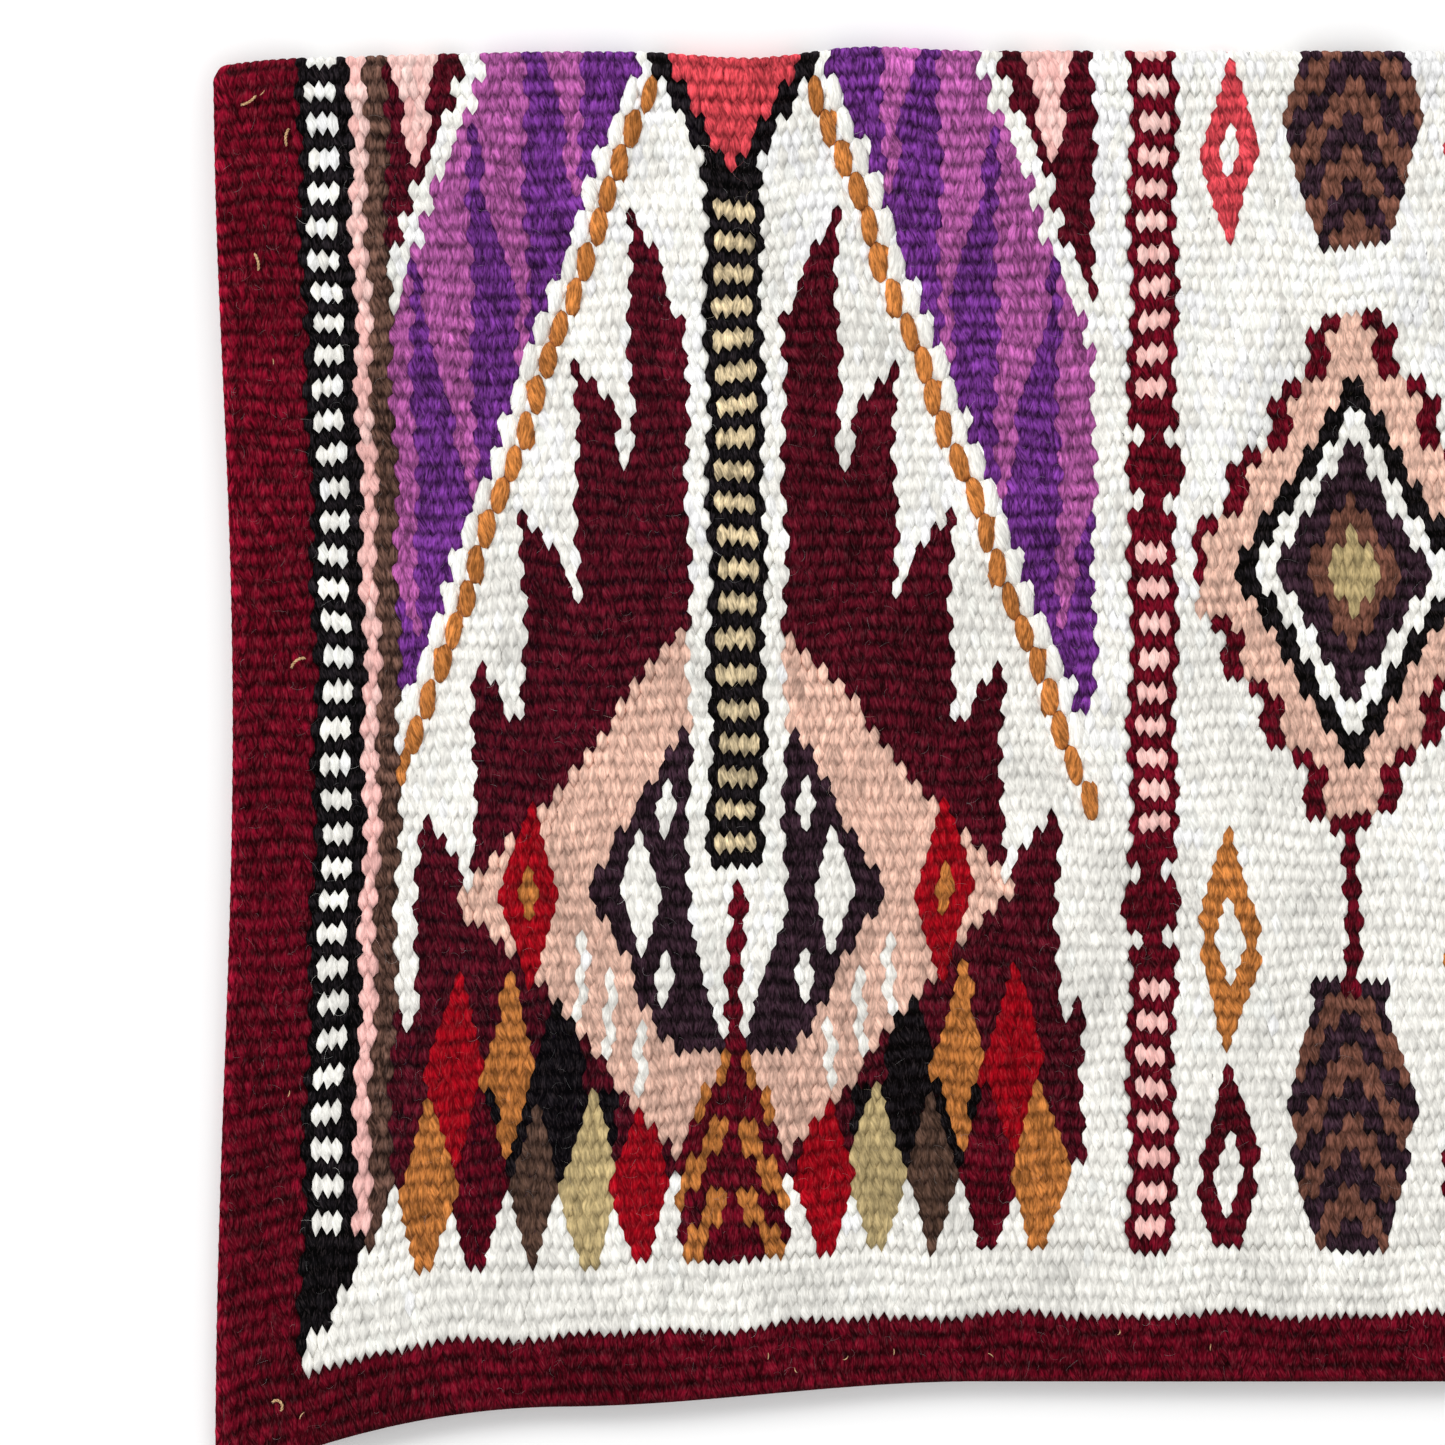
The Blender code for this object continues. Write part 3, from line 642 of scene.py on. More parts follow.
def cloth_mesh(name, chosen, outer_faces):
    """The chosen grains as one closed piece: an outer and an inner skin, and walls along their outline."""
    index, *outer, tri, owner = skin(chosen, 1, outer_faces)
    _, *inner, tri2, owner2 = skin(chosen, -1, WORN)
    base = len(outer[0])
    sides = np.stack([index, np.roll(index, -1, axis=1)], -1).reshape(-1, 2)
    code = np.sort(sides, axis=1)
    _, lone, uses = np.unique(code[:, 0] * (base + 1) + code[:, 1], return_index=True, return_counts=True)
    lone = lone[uses == 1]
    (a, b), rim_owner = sides[lone].T, np.repeat(chosen, 8)[lone]
    wall = np.concatenate([np.stack([a, b, base + b], 1), np.stack([a, base + b, base + a], 1)])
    triangles = np.concatenate([tri, base + tri2, wall])
    owners = np.concatenate([owner, owner2, rim_owner, rim_owner])
    # In the cloth's corners two rim points of a half grain fall together, and the faces between them go
    whole = (triangles != np.roll(triangles, 1, axis=1)).all(axis=1)
    triangles, owners = triangles[whole], owners[whole]
    run, across, height, crest = (np.concatenate(pair) for pair in zip(outer, inner))
    height = height * rounding(run, across)
    ended = abs(run) > END_RUN
    run = run + np.sign(run) * RIB_SCALLOP * np.cos(2 * math.pi * (across / RIB + 0.5)) * ended
    used, triangles = np.unique(triangles, return_inverse=True)
    points = lay(run, across, height)[used]
    return woven_piece(name, points, triangles.reshape(-1, 3), GRAIN_COLOUR[owners], GRAIN_CHANCE[owners],
                       crest[used], across[used] / RIB)


def mesh_piece(name, points, triangles):
    """A smooth piece made of triangles."""
    mesh = bpy.data.meshes.new(name)
    mesh.vertices.add(len(points))
    mesh.vertices.foreach_set("co", points.astype(np.float32).ravel())
    mesh.loops.add(triangles.size)
    mesh.loops.foreach_set("vertex_index", triangles.astype(np.int32).ravel())
    mesh.polygons.add(len(triangles))
    mesh.polygons.foreach_set("loop_start", np.arange(0, triangles.size, 3, dtype=np.int32))
    mesh.update(calc_edges=True)
    mesh.polygons.foreach_set("use_smooth", np.ones(len(triangles), dtype=bool))
    mesh.validate()
    piece = bpy.data.objects.new(name, mesh)
    bpy.context.collection.objects.link(piece)
    return piece


def woven_piece(name, points, triangles, colours, chances, crest, ribs):
    """A mesh piece that carries, for the wool, each face's yarn and each point's place in the weave, from
    which the wool paints shade into the valleys.
    """
    piece = mesh_piece(name, points, triangles)
    add = piece.data.attributes.new
    add("yarn", "FLOAT_COLOR", "FACE").data.foreach_set("color", colours.astype(np.float32).ravel())
    for key, part, data in (("chance", "FACE", chances), ("crest", "POINT", crest), ("ribs", "POINT", ribs)):
        add(key, "FLOAT", part).data.foreach_set("value", data.astype(np.float32))
    return piece


def add_node(tree, kind, sockets, **settings):
    """Adds a node with its settings, and gives each socket a value or a link from a node or its output."""
    node = tree.nodes.new("ShaderNode" + kind)
    for key, value in settings.items():
        setattr(node, key, value)
    for key, value in sockets.items():
        if isinstance(value, bpy.types.Node):
            value = value.outputs[0]
        if isinstance(value, bpy.types.NodeSocket):
            tree.links.new(value, node.inputs[key])
        else:
            node.inputs[key].default_value = value
    return node


# Plies and fibres, both coarser than real ones, so that a picture of the whole blanket shows them
MM = 0.001
PLY_PITCH, PLY_LENGTH = 1.15 * MM, 5.2 * MM
FIBRE_PITCH, FIBRE_LENGTH = 0.50 * MM, 2.6 * MM
FIBRE_LEANS = (-0.50, 0.25)
FIBRE_SHARE = 0.46
FIBRE_ROUGHNESS = 0.6
GRAINS_APART = 61.0
MOTTLE_SPAN, PACKING_SPAN = 28 * MM, 8 * MM
DARKEST, BRIGHTEST = 0.32, 2.6
# Painted shade in the valleys: the crest share it fades out at, and how dark it is between grains and ribs
VALLEY_TOP = 0.7
VALLEY_SHADE = {1: -0.36, 2: 0.92}
RIB_SHADE = {1: -0.75, 2: 1.0}
HAIR_AND_SHEEN_COLOUR = "#ccb2b6"
RELIEF_STRENGTH = 0.9
FUZZ_ROUGHNESS = 0.5
WOOL_GLOSS = 0.05

# What each noise or wave spans, and what that becomes
STREAKS = {"From Min": 0.40, "From Max": 0.62}
HAIRS_AND_SHEEN = {"From Min": 0.52, "From Max": 0.70, "To Min": 0.0, "To Max": 0.036}
PATCHES = {"From Min": 0.3, "From Max": 0.7, "To Min": 0.88, "To Max": 1.14}
PACKING = {"From Min": 0.34, "From Max": 0.64, "To Min": 0.1, "To Max": 0.95}
RIB_VALLEY_SHADE = {"From Min": -0.5, "From Max": 1.0, "To Min": 1.0}


def wool(name, roughness, sheen, fuzz_colour, relief):
    """Matt handwoven wool in each grain's own colour. Slanted plies and fine fibres streak it light and dark,
    painted shade darkens it between grains and, in the finer dark yarns, between ribs, pale hairs that are
    partly painted sheen lie in its brightest streaks, and loose fuzz catches light where it turns away."""
    material = bpy.data.materials.new(name)
    material.use_nodes = True
    tree = material.node_tree
    tree.nodes.clear()
    node = partial(add_node, tree)
    yarn, chance, crest, ribs = (node("Attribute", {}, attribute_name=key)
                                 for key in ("yarn", "chance", "crest", "ribs"))
    where = node("TexCoord", {}).outputs["Object"]
    streak, chance = yarn.outputs["Alpha"], chance.outputs["Fac"]

    # Plies and fibres: noise drawn out along each grain's own chance heading, and unlike from grain to grain
    least, most = FIBRE_LEANS
    lean = node("Math", {0: chance, 1: most - least, 2: least}, operation="MULTIPLY_ADD")
    heading = node("CombineXYZ", {"Z": lean})
    turned = node("Mapping", {"Vector": where, "Rotation": heading})
    apart = node("Math", {0: chance, 1: GRAINS_APART}, operation="MULTIPLY")
    noises = []
    for pitch, length, detail in ((PLY_PITCH, PLY_LENGTH, 1.0), (FIBRE_PITCH, FIBRE_LENGTH, 2.0)):
        drawn_out = node("Mapping", {"Vector": turned, "Scale": (1 / pitch, 1 / length, 1 / length)})
        noises.append(node("TexNoise", {
            "Vector": drawn_out, "W": apart, "Scale": 1.0, "Detail": detail, "Roughness": FIBRE_ROUGHNESS},
            noise_dimensions="4D"))
    both = node("Mix", {"A": noises[0], "B": noises[1], "Factor": FIBRE_SHARE})
    dark, bright = (node("Math", {0: end, 1: streak}, operation="POWER") for end in (DARKEST, BRIGHTEST))
    body = node("MapRange", {"Value": both, "To Min": dark, "To Max": bright, **STREAKS})

    # Painted shade between grains everywhere, and between ribs as a soft wave coming and going with packing
    depth = node("Math", {0: streak, **VALLEY_SHADE}, operation="MULTIPLY_ADD")
    painted_valley_shade = node("MapRange", {"Value": crest.outputs["Fac"], "From Max": VALLEY_TOP, "To Min": depth})
    turn = node("Math", {0: ribs.outputs["Fac"], 1: 2 * math.pi}, operation="MULTIPLY")
    wave = node("Math", {0: turn}, operation="COSINE")
    packing, mottle = (node("TexNoise", {"Vector": where, "Scale": 1 / span, "Detail": 2.0})
                       for span in (PACKING_SPAN, MOTTLE_SPAN))
    loose = node("MapRange", {"Value": packing, **PACKING})
    shaded = node("Math", {0: streak, 1: loose}, operation="MULTIPLY")
    least = node("Math", {0: shaded, **RIB_SHADE}, operation="MULTIPLY_ADD")
    shade = node("MapRange", {"Value": wave, "To Max": least, **RIB_VALLEY_SHADE})
    patch = node("MapRange", {"Value": mottle, **PATCHES})
    tone = body
    for factor in (painted_valley_shade, shade, patch):
        tone = node("Math", {0: tone, 1: factor}, operation="MULTIPLY")
    toned = node("VectorMath", {0: yarn.outputs["Color"], "Scale": tone}, operation="SCALE")
    # Pale hairs in the brightest fibre streaks, partly real hair and partly painted sheen
    hairs = node("MapRange", {"Value": noises[1], **HAIRS_AND_SHEEN})
    haired_and_sheen = node("Mix", {0: hairs, 6: toned, 7: (*linear(HAIR_AND_SHEEN_COLOUR), 1)}, data_type="RGBA")

    bump = node("Bump", {"Height": both, "Strength": RELIEF_STRENGTH, "Distance": relief})
    shader = node("BsdfPrincipled", {
        "Base Color": haired_and_sheen.outputs[2], "Normal": bump, "Roughness": roughness,
        "Sheen Weight": sheen, "Sheen Roughness": FUZZ_ROUGHNESS, "Sheen Tint": (*linear(fuzz_colour), 1),
        "Specular IOR Level": WOOL_GLOSS})
    node("OutputMaterial", {"Surface": shader})
    return material


def mottled(name, dark, pale, scale, ends, roughness, sheen=0.0):
    """A plain finish whose colour goes from dark to pale with a noise, between the two ends of its range."""
    material = bpy.data.materials.new(name)
    material.use_nodes = True
    tree = material.node_tree
    shader = tree.nodes["Principled BSDF"]
    where = add_node(tree, "TexCoord", {}).outputs["Object"]
    noise = add_node(tree, "TexNoise", {"Vector": where, "Scale": scale, "Detail": 2.0})
    ramp = add_node(tree, "ValToRGB", {"Fac": noise})
    for stop, end, colour in zip(ramp.color_ramp.elements, ends, (dark, pale)):
        stop.position = end
        stop.color = (*colour, 1)
    tree.links.new(ramp.outputs["Color"], shader.inputs["Base Color"])
    shader.inputs["Roughness"].default_value = roughness
    shader.inputs["Sheen Weight"].default_value = sheen
    return material


# How deep the plies stand on the finer dark wools and on the plump ones
FINE_PLIES, PLUMP_PLIES = 0.60 * MM, 0.72 * MM

# Each wool's roughness, how much fuzz it has, the fuzz's colour, and how deep its plies stand
WOOLS = {
    # Deep red, streaked, with a pink bloom of fuzz along its edges
    "burgundy_wool": (0.92, 0.18, "#b01c36", FINE_PLIES),
    # Nearly black, its grey hairs, partly painted sheen, the only light in it
    "black_wool": (0.90, 0.03, "#6a6468", FINE_PLIES),
    # Pale and soft, plump grains shaded only between them
    "pink_wool": (0.93, 0.05, "#f7c8c0", PLUMP_PLIES),
    # Undyed brown sheep's wool, strongly mixed light and dark
    "brown_wool": (0.93, 0.06, "#9a8070", PLUMP_PLIES),
    # Violet with a lilac bloom, the brightest of the dark wools
    "purple_wool": (0.90, 0.08, "#a06ac0", FINE_PLIES),
    # Brownish red, darker than the border, with rosy flecks
    "wine_wool": (0.92, 0.08, "#a04058", FINE_PLIES),
    # Pale skin colour, chalky
    "peach_wool": (0.94, 0.05, "#f4d8c8", PLUMP_PLIES),
    # Natural white, chalky, its grains plain to see
    "white_wool": (0.95, 0.05, "#ffffff", PLUMP_PLIES),
    # Dull yellow, lightly mixed
    "khaki_wool": (0.94, 0.05, "#d8caa0", PLUMP_PLIES),
    # Plum so dark that it reads as brown, with few light hairs, partly painted sheen
    "aubergine_wool": (0.92, 0.05, "#8a5a70", FINE_PLIES),
}
FINISHES = {name: wool(name, *values) for name, values in WOOLS.items()}

# Plied warp yarn, undyed and slightly shiny, whose colour varies along it
FINISHES["straw_warp"] = mottled(
    "straw_warp", linear("#a8794a"), linear("#e3c190"), scale=1 / MM, ends=(0.3, 0.7), roughness=0.6,
    sheen=0.15)

# Which grains belong to which weft area, as the solids part them
BANDS = (
    ("border", BORDER_INNER, HALF_LENGTH + GRAIN, "burgundy_wool"),
    ("black_ladder", LADDER_INNER, BORDER_INNER, "black_wool"),
    ("bead_line", BEAD_INNER, LADDER_INNER, "pink_wool"),
    ("brown_line", FIELD_EDGE, BEAD_INNER, "brown_wool"),
    ("outer_field", TAN_OUTER, FIELD_EDGE, "purple_wool"),
    ("tan_ladder", TAN_INNER, TAN_OUTER, "black_wool"),
    ("middle_field", PINK_OUTER, TAN_INNER, "wine_wool"),
    ("pink_ladder", PINK_INNER, PINK_OUTER, "pink_wool"),
)
PAIRED_SLOTS = {"peach_diamond": "peach_wool", "diamond_stalk": "wine_wool"}
MIDDLE_SLOTS = {
    "centre_field_top": "white_wool", "centre_field_foot": "white_wool", "centre_diamond": "khaki_wool",
    "hem_band": "white_wool", "hem_border": "burgundy_wool"}
SLOTS = {name: slot for name, _, _, slot in BANDS} | PAIRED_SLOTS | MIDDLE_SLOTS


def areas():
    """The weft area of each grain, later ones over earlier ones."""
    area = np.full(COUNT, "centre_field_top", dtype="<U20")
    away = abs(RUN)
    area[FALL > CENTRE_DIAMOND_DROP] = "centre_field_foot"
    ring = 1 - away / PINK_INNER - abs(FALL - CENTRE_DIAMOND_DROP) / CENTRE_DIAMOND_HALF_HEIGHT
    area[ring > 0] = "centre_diamond"
    for name, low, high, _ in BANDS:
        area[(away >= low) & (away < high)] = name
    peach = 1 - abs(away - DIAMOND_AXIS) / DIAMOND_HALF_WIDTH - abs(FALL - DIAMOND_DROP) / DIAMOND_HALF_HEIGHT
    cut_off = DIAMOND_HALF_HEIGHT * (1 - TAN_LADDER_WIDTH / 2 / DIAMOND_HALF_WIDTH)
    area[(area == "tan_ladder") & (FALL > DIAMOND_DROP)] = "diamond_stalk"
    area[(peach > 0) & (abs(FALL - DIAMOND_DROP) < cut_off)] = "peach_diamond"
    mitre = (FALL > mitre_line(away)) & (away >= FIELD_EDGE) & (away < BORDER_INNER)
    area[((FALL > FIELD_FOOT) & (away < FIELD_EDGE)) | mitre] = "hem_band"
    area[(FALL > BORDER_TOP) & (away < BORDER_INNER)] = "hem_border"
    return area


AREA = areas()
in_fold = RANK < FOLD_RIBS
CARRIED = {"outer_field": ("bead_line", "brown_line"), "peach_diamond": ("diamond_stalk",)}


def wear(piece, slot, body):
    """Gives a piece the finish of a slot, and the body that it rides on."""
    piece.data.materials.append(FINISHES[slot])
    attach(piece, body)


def dress(side, area, suffix, chosen):
    """One weft area as a woven piece that stands for its solid."""
    node = f"{side}_{area}{suffix}"
    piece = cloth_mesh("woven_" + node, chosen, PLAIN if side == "off" else FINE)
    wear(piece, SLOTS[area], side + "_side")
    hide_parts(node)
    return piece, chosen


HANDS = {"_left": RUN < 0, "_right": RUN > 0}
for side, on_side in (("off", ROW < 0), ("near", ROW >= 0)):
    made = {}
    for area in SLOTS:
        for suffix, on_hand in ({"": np.full(COUNT, True)} if area in MIDDLE_SLOTS else HANDS).items():
            chosen = np.flatnonzero(on_side & on_hand & (AREA == area) & ~in_fold)
            made[area, suffix] = dress(side, area, suffix, chosen)
    for (area, suffix), (piece, chosen) in made.items():
        if not any(area in small for small in CARRIED.values()):
            rests_on = "floor" if side == "off" else f"woven_off_{area}{suffix}"

# The two halves of the cloth round the fold
bottom = (0, FOLD_Y, FOLD_Z - FOLD_INNER_RADIUS)
apex = (0, FOLD_Y + FOLD_INNER_RADIUS, FOLD_Z)
tilt = BEND - math.pi
top = (0, FOLD_Y - FOLD_INNER_RADIUS * math.sin(tilt), FOLD_Z + FOLD_INNER_RADIUS * math.cos(tilt))
for name, on_side, pair, start, end, rests_on in (
        ("woven_fold_lower", ROW < 0, ("off_side", "fold_spine"), bottom, apex, "floor"),
        ("woven_fold_upper", ROW >= 0, ("fold_spine", "near_side"), apex, top, "woven_fold_lower")):
    chosen = np.flatnonzero(in_fold & on_side)
    piece = cloth_mesh(name, chosen, FINE)
    piece.data.materials.append(FINISHES["aubergine_wool"])
    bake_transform(piece)
    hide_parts("fold_strip")


STEEP = 0.9


def tubes(centres, radii, sides, flatness=1.0):
    """Closed tubes along many lines: centres is (lines, points, 3), radii (lines, points). Each ring
    lies across the line's own direction, flattened upright by flatness, and fans close the ends."""
    lines, count, _ = centres.shape
    along = np.gradient(centres, axis=1)
    along /= np.linalg.norm(along, axis=2, keepdims=True)
    up = np.where(abs(along[..., 2:]) > STEEP, [1.0, 0, 0], [0, 0, 1.0])
    first = np.cross(along, up)
    first /= np.linalg.norm(first, axis=2, keepdims=True)
    second = np.cross(along, first) * flatness
    angle = np.linspace(0, 2 * math.pi, sides, endpoint=False)
    ring = centres[:, :, None] + radii[..., None, None] * (
        np.cos(angle)[:, None] * first[:, :, None] + np.sin(angle)[:, None] * second[:, :, None])
    index = np.arange(lines * count * sides).reshape(lines, count, sides)
    a, b = index[:, :-1], index[:, 1:]
    a2, b2 = np.roll(a, -1, 2), np.roll(b, -1, 2)
    walls = [np.stack(corners, -1).reshape(-1, 3) for corners in ((a, b2, b), (a, a2, b2))]
    start, end = (np.stack(np.broadcast_arrays(row[:, :1], row[:, 1:-1], row[:, 2:]), -1).reshape(-1, 3)
                  for row in (index[:, 0], index[:, -1]))
    return ring.reshape(-1, 3), np.concatenate([*walls, start[:, ::-1], end])


# Outline beads: each slanting line's yarn wraps two ribs at once and stands proud. For each colour: how many
# grains off the line, how broad, and how far above the cloth on the near side
BEADS = {"orange": (0.0, 1.72 * GRAIN, 0.0018), "white": (1.68, 1.74 * GRAIN, 0.0010)}
BEAD_LENGTH = 2.34 * RIB
BEAD_FLATNESS = 0.66
BEAD_RINGS, BEAD_SIDES = 9, 8
BEAD_DIP = 0.0011
BEAD_VARIES = 0.06
BEAD_LEAN = 0.45
BEAD_END_ANGLE = math.radians(80)
BEAD_LIGHT = 0.9
FIRST_BEAD_RANK = 2
# How far the lines run outwards and inwards from the ladder, in grains
BEADS_END_SHORT, BEADS_END_INSIDE = 0.8, 34.6
FIELD_LIMITS = ((1, FIELD_EDGE / GRAIN - AXIS - BEADS_END_SHORT), (-1, BEADS_END_INSIDE))
# A ribs value of one half puts a point on a rib's crest, where the wool paints no shade between ribs
ON_A_RIB = 0.5


def bead_wraps(name, side, body):
    """The beads on one side of the fold: long ellipsoids half sunk in the cloth, one for each step of a line
    and leaning with it."""
    parts = []
    for hue, (offset, breadth, rise) in BEADS.items():
        rank = np.arange(FIRST_BEAD_RANK, RIBS, 2) + 1.0
        away = APEX + SLANT * rank + offset
        steps_in = [(hand, lean, step, reach) for hand in (-1, 1) for lean, limit in FIELD_LIMITS
                    for step, reach in zip(rank, away) if reach < limit]
        hand, lean, step, reach = np.array(steps_in).T[..., None]
        count = len(steps_in)
        t = np.sin(np.linspace(-1, 1, BEAD_RINGS) * BEAD_END_ANGLE)
        half = breadth / 2 * (1 + BEAD_VARIES * rng.standard_normal((count, 1)))
        across = side * (step * RIB + t * BEAD_LENGTH / 2)
        run = hand * (AXIS + lean * reach) * GRAIN + GRAIN_WANDERS * rng.standard_normal((count, 1))
        run = run + hand * lean * t * SLANT * GRAIN * BEAD_LEAN
        height = HALF_THICKNESS + max(side, 0) * rise - BEAD_DIP * t ** 2 - half * BEAD_FLATNESS
        centres = lay(run, across, height)
        points, triangles = tubes(centres, half * np.sqrt(1 - t ** 2), BEAD_SIDES, BEAD_FLATNESS)
        bead = triangles[:, 0] // (BEAD_RINGS * BEAD_SIDES)
        grain = rng.choice(np.flatnonzero(PLAN == NAMES.index(hue)), count)
        # Each bead's crest share falls from BEAD_LIGHT in its middle to nothing at its ends, so its ends get
        # painted shade
        parts.append((points, triangles, GRAIN_COLOUR[grain][bead], rng.random(count)[bead],
                      np.tile(np.repeat(BEAD_LIGHT * (1 - t ** 4), BEAD_SIDES), count)))
    points, triangles, colours, chances, crest = zip(*parts)
    triangles = np.concatenate([triangles[0], triangles[1] + len(points[0])])
    points, colours, chances, crest = map(np.concatenate, (points, colours, chances, crest))
    ribs = np.full(len(points), ON_A_RIB)
    wear(woven_piece(name, points, triangles, colours, chances, crest, ribs), "white_wool", body)


# Loose fibres: hairs of the wool that have worked free and lie curled on the cloth. Lengths are in mm
LOOSE_RADIUS = 0.045 * MM
LOOSE_POINTS, LOOSE_SIDES = 6, 3
LOOSE_LENGTHS = (1.8, 6.5)
LOOSE_CURL = 2.6
LOOSE_SUNK = 0.15 * MM
LOOSE_LIFTS = (0.3, 1.6)
LOOSE_THICKNESSES = (0.7, 1.25)
LOOSE_TAPER = 0.6
LOOSE_BLENDS = (0.15, 0.7)
PALE_GROUND, HAIR_ON_PALE, HAIR_ON_DARK = 0.25, 0.30, 0.42


def loose_fibres(name, on_side, count, lift, body):
    """Hairs that start over grains picked by chance. Each turns steadily, and rises and falls by half a sine
    of the lift. Over dark wool they are paler, over pale wool darker."""
    grain = rng.choice(np.flatnonzero(on_side & (RANK >= FOLD_RIBS + 1) & (RANK < RIBS - 1)), count)
    t = np.linspace(0, 1, LOOSE_POINTS)
    length = rng.uniform(*LOOSE_LENGTHS, (count, 1)) * MM
    heading = rng.uniform(0, 2 * math.pi, (count, 1)) + rng.uniform(-LOOSE_CURL, LOOSE_CURL, (count, 1)) * t
    step = length / (LOOSE_POINTS - 1)
    run = RUN[grain][:, None] + np.cumsum(step * np.cos(heading), 1)
    across = (ROW[grain] + rng.random(count))[:, None] * RIB + np.cumsum(step * np.sin(heading), 1)
    run = np.clip(run, -HALF_LENGTH + EDGE_ROUNDING, HALF_LENGTH - EDGE_ROUNDING)
    rise = lift * rng.uniform(*LOOSE_LIFTS, (count, 1)) * np.sin(math.pi * t)
    radii = LOOSE_RADIUS * rng.uniform(*LOOSE_THICKNESSES, (count, 1)) * (1 - LOOSE_TAPER * t)
    points, triangles = tubes(lay(run, across, HALF_THICKNESS - LOOSE_SUNK + rise), radii, LOOSE_SIDES)
    colour = GRAIN_COLOUR[grain].copy()
    hair = np.where(colour[:, :3].mean(1, keepdims=True) > PALE_GROUND, HAIR_ON_PALE, HAIR_ON_DARK)
    colour[:, :3] += (hair - colour[:, :3]) * rng.uniform(*LOOSE_BLENDS, (count, 1))
    colour[:, 3] = 0
    owner = triangles[:, 0] // (LOOSE_POINTS * LOOSE_SIDES)
    crest, ribs = np.ones(len(points)), np.full(len(points), ON_A_RIB)
    wear(woven_piece(name, points, triangles, colour[owner], rng.random(count)[owner], crest, ribs),
         "white_wool", body)


bead_wraps("bead_wraps_near", 1, "near_side")
bead_wraps("bead_wraps_off", -1, "off_side")
loose_fibres("loose_fibres_near", ROW >= 0, count=5200, lift=0.35 * MM, body="near_side")
loose_fibres("loose_fibres_off", ROW < 0, count=600, lift=0.05 * MM, body="off_side")


# Loose warp ends: two twisted plies, bent over on the border with both ends in the cloth. Where each lies:
# run and drop as shares of the cloth's, then heading and bend in degrees
TAILS = (
    (-0.967, 0.035, 25, 70), (-0.937, 0.065, 80, -50), (-0.963, 0.16, 100, 60), (-0.942, 0.459, 30, -80),
    (-0.945, 0.965, 130, 190),
)
TAIL_LENGTH = 0.0072
TAIL_ARCH, TAIL_BLUNTNESS = 0.0021, 0.6
TAIL_SUNK = 0.0012
TAIL_POINTS, TAIL_SIDES = 25, 6
PLY_RADIUS = 0.00030
PLY_OFFSET = 0.9 * PLY_RADIUS
PLY_TWIST = 0.0024

# Bits of straw-coloured chaff caught in the border: as for the tails, then each one's length in mm
CHAFF = (
    (-0.955, 0.03, 40, 50, 2.6), (-0.955, 0.233, 95, 30, 2.2), (-0.94, 0.765, 75, 60, 2.4),
    (-0.925, 0.975, 60, -80, 3.0), (-0.512, 0.972, 80, 40, 2.4), (-0.445, 0.978, 30, 70, 2.6),
    (-0.489, 0.985, 120, -60, 2.0), (-0.403, 0.975, 85, 35, 2.4), (-0.206, 0.962, 60, 90, 2.2),
    (-0.318, 0.98, 140, 50, 2.6), (-0.124, 0.975, 90, -40, 2.4), (0.15, 0.97, 70, 60, 2.6),
    (0.42, 0.98, 30, 50, 2.2), (0.96, 0.30, 95, 40, 2.4), (0.95, 0.70, 60, -50, 2.6),
)
CHAFF_RADIUS = 0.00022
CHAFF_RISE = 0.0008
CHAFF_SUNK = 0.4 * MM
CHAFF_TAPER = 0.5
CHAFF_POINTS, CHAFF_SIDES = 9, 5


def curl(run, drop, heading, bend, length, points):
    """Runs and drops along an arc whose heading turns by bend about its middle: summed steps, centred."""
    t = np.linspace(0, 1, points)
    turn = np.radians(heading + bend * (t - 0.5))
    step = length / (points - 1)
    runs, drops = np.cumsum(step * np.cos(turn)), -np.cumsum(step * np.sin(turn))
    return t, turn, run * HALF_LENGTH + runs - runs.mean(), drop * DROP + drops - drops.mean()


def straw_piece(name, centres, radii, sides):
    """Straw-coloured tubes as one piece that rides with the near side."""
    piece = mesh_piece(name, *tubes(np.array(centres), np.array(radii), sides))
    wear(piece, "straw_warp", "near_side")
    return piece


for i, place_and_bend in enumerate(TAILS, start=1):
    t, turn, runs, drops = curl(*place_and_bend, TAIL_LENGTH, TAIL_POINTS)
    height = HALF_THICKNESS - TAIL_SUNK + TAIL_ARCH * np.sin(math.pi * t) ** TAIL_BLUNTNESS
    wind = 2 * math.pi * t * TAIL_LENGTH / PLY_TWIST
    plies = []
    for offset in (PLY_OFFSET, -PLY_OFFSET):
        aside, above = offset * np.cos(wind), offset * np.sin(wind)
        plies.append(lay(runs - aside * np.sin(turn), drops - aside * np.cos(turn), height + above))
    end = straw_piece(f"warp_end_{i}", plies, np.full((2, TAIL_POINTS), PLY_RADIUS), TAIL_SIDES)
    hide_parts(f"near_warp_end_{i}")

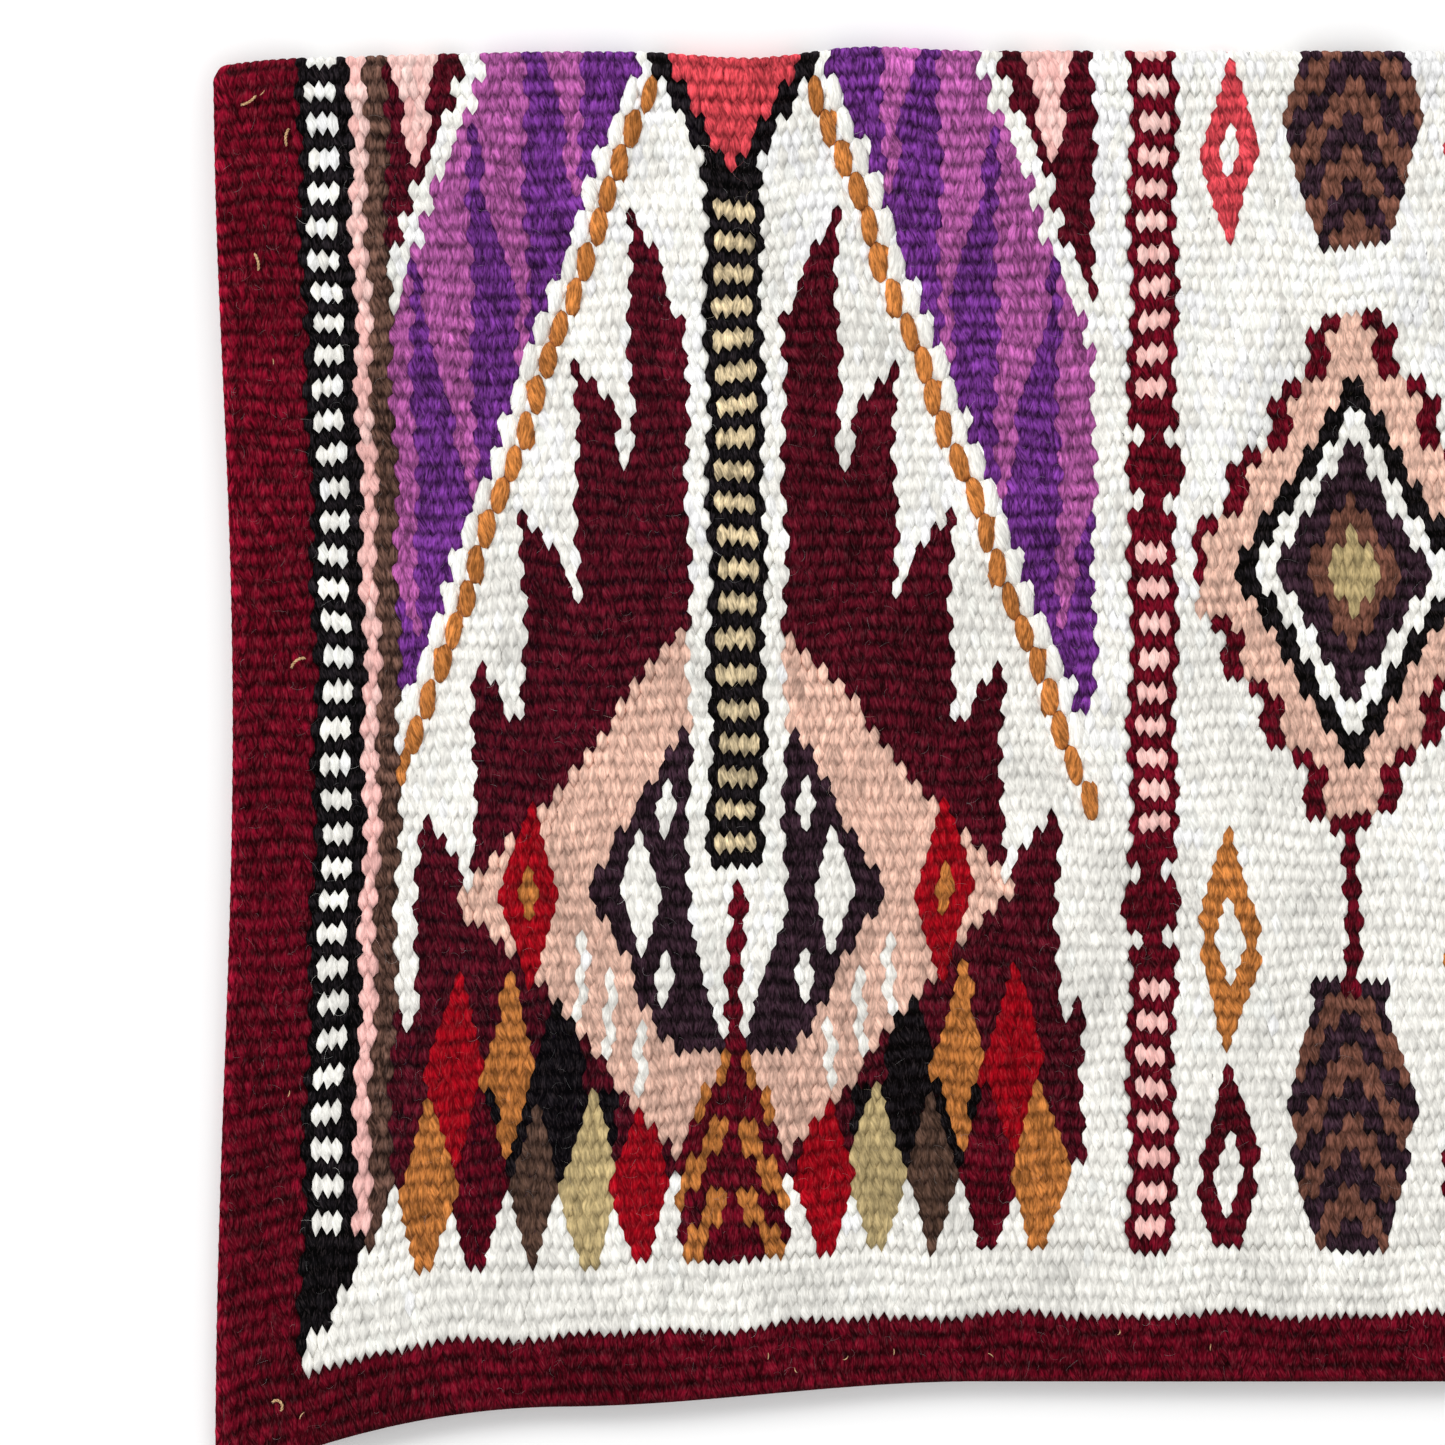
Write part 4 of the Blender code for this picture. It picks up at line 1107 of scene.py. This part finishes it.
lines = []
for *place_and_bend, length in CHAFF:
    t, _, runs, drops = curl(*place_and_bend, length * MM, CHAFF_POINTS)
    lines.append(lay(runs, drops, HALF_THICKNESS - CHAFF_SUNK + CHAFF_RISE * np.sin(math.pi * t)))
thickness = CHAFF_RADIUS * (1 - CHAFF_TAPER * (2 * t - 1) ** 2)
straw_piece("border_chaff", lines, [thickness] * len(lines), CHAFF_SIDES)

# The floor, a plain painted board with a very faint mottle
WHITE = linear("#ffffff")
BOARD_MOTTLE = 0.985
bpy.ops.mesh.primitive_plane_add(size=8)
floor = bpy.context.object
floor.name = "floor"
board = mottled("pale_board", WHITE * BOARD_MOTTLE, WHITE, scale=9.0, ends=(0, 1), roughness=0.9)
floor.data.materials.append(board)

# Two square soft lights: where each stands, and its power
LIGHTS = {"key": ((-2.6, 2.4, 3.0), 128), "fill": ((0.3, -1.0, 2.5), 20)}
LIGHT_SIZE = 2.2
LIGHT_AIM = Vector((-0.1, 0, 0))
SKY_STRENGTH = 0.50
for name, (stand, power) in LIGHTS.items():
    data = bpy.data.lights.new(name, "AREA")
    data.size = LIGHT_SIZE
    data.energy = power
    light = bpy.data.objects.new(name, data)
    light.location = stand
    light.rotation_euler = (LIGHT_AIM - Vector(stand)).to_track_quat("-Z", "Y").to_euler()
    bpy.context.collection.objects.link(light)
world = bpy.data.worlds.new("studio")
world.use_nodes = True
sky = world.node_tree.nodes["Background"].inputs
sky["Color"].default_value = (1, 1, 1, 1)
sky["Strength"].default_value = SKY_STRENGTH
bpy.context.scene.world = world
bpy.context.scene.view_settings.view_transform = "Standard"

# The photograph's frame: its width on the blanket, its centre, and how far the camera stands above
FRAME_WIDTH = 0.5473
FRAME_CENTRE = (-0.2390, 0.0152)
CAMERA_HEIGHT = 2.0
camera_data = bpy.data.cameras.new("camera")
camera_data.lens = camera_data.sensor_width * CAMERA_HEIGHT / FRAME_WIDTH
camera = bpy.data.objects.new("camera", camera_data)
camera.location = (*FRAME_CENTRE, CAMERA_HEIGHT + 2 * OUTER_RADIUS)
bpy.context.collection.objects.link(camera)
bpy.context.scene.camera = camera
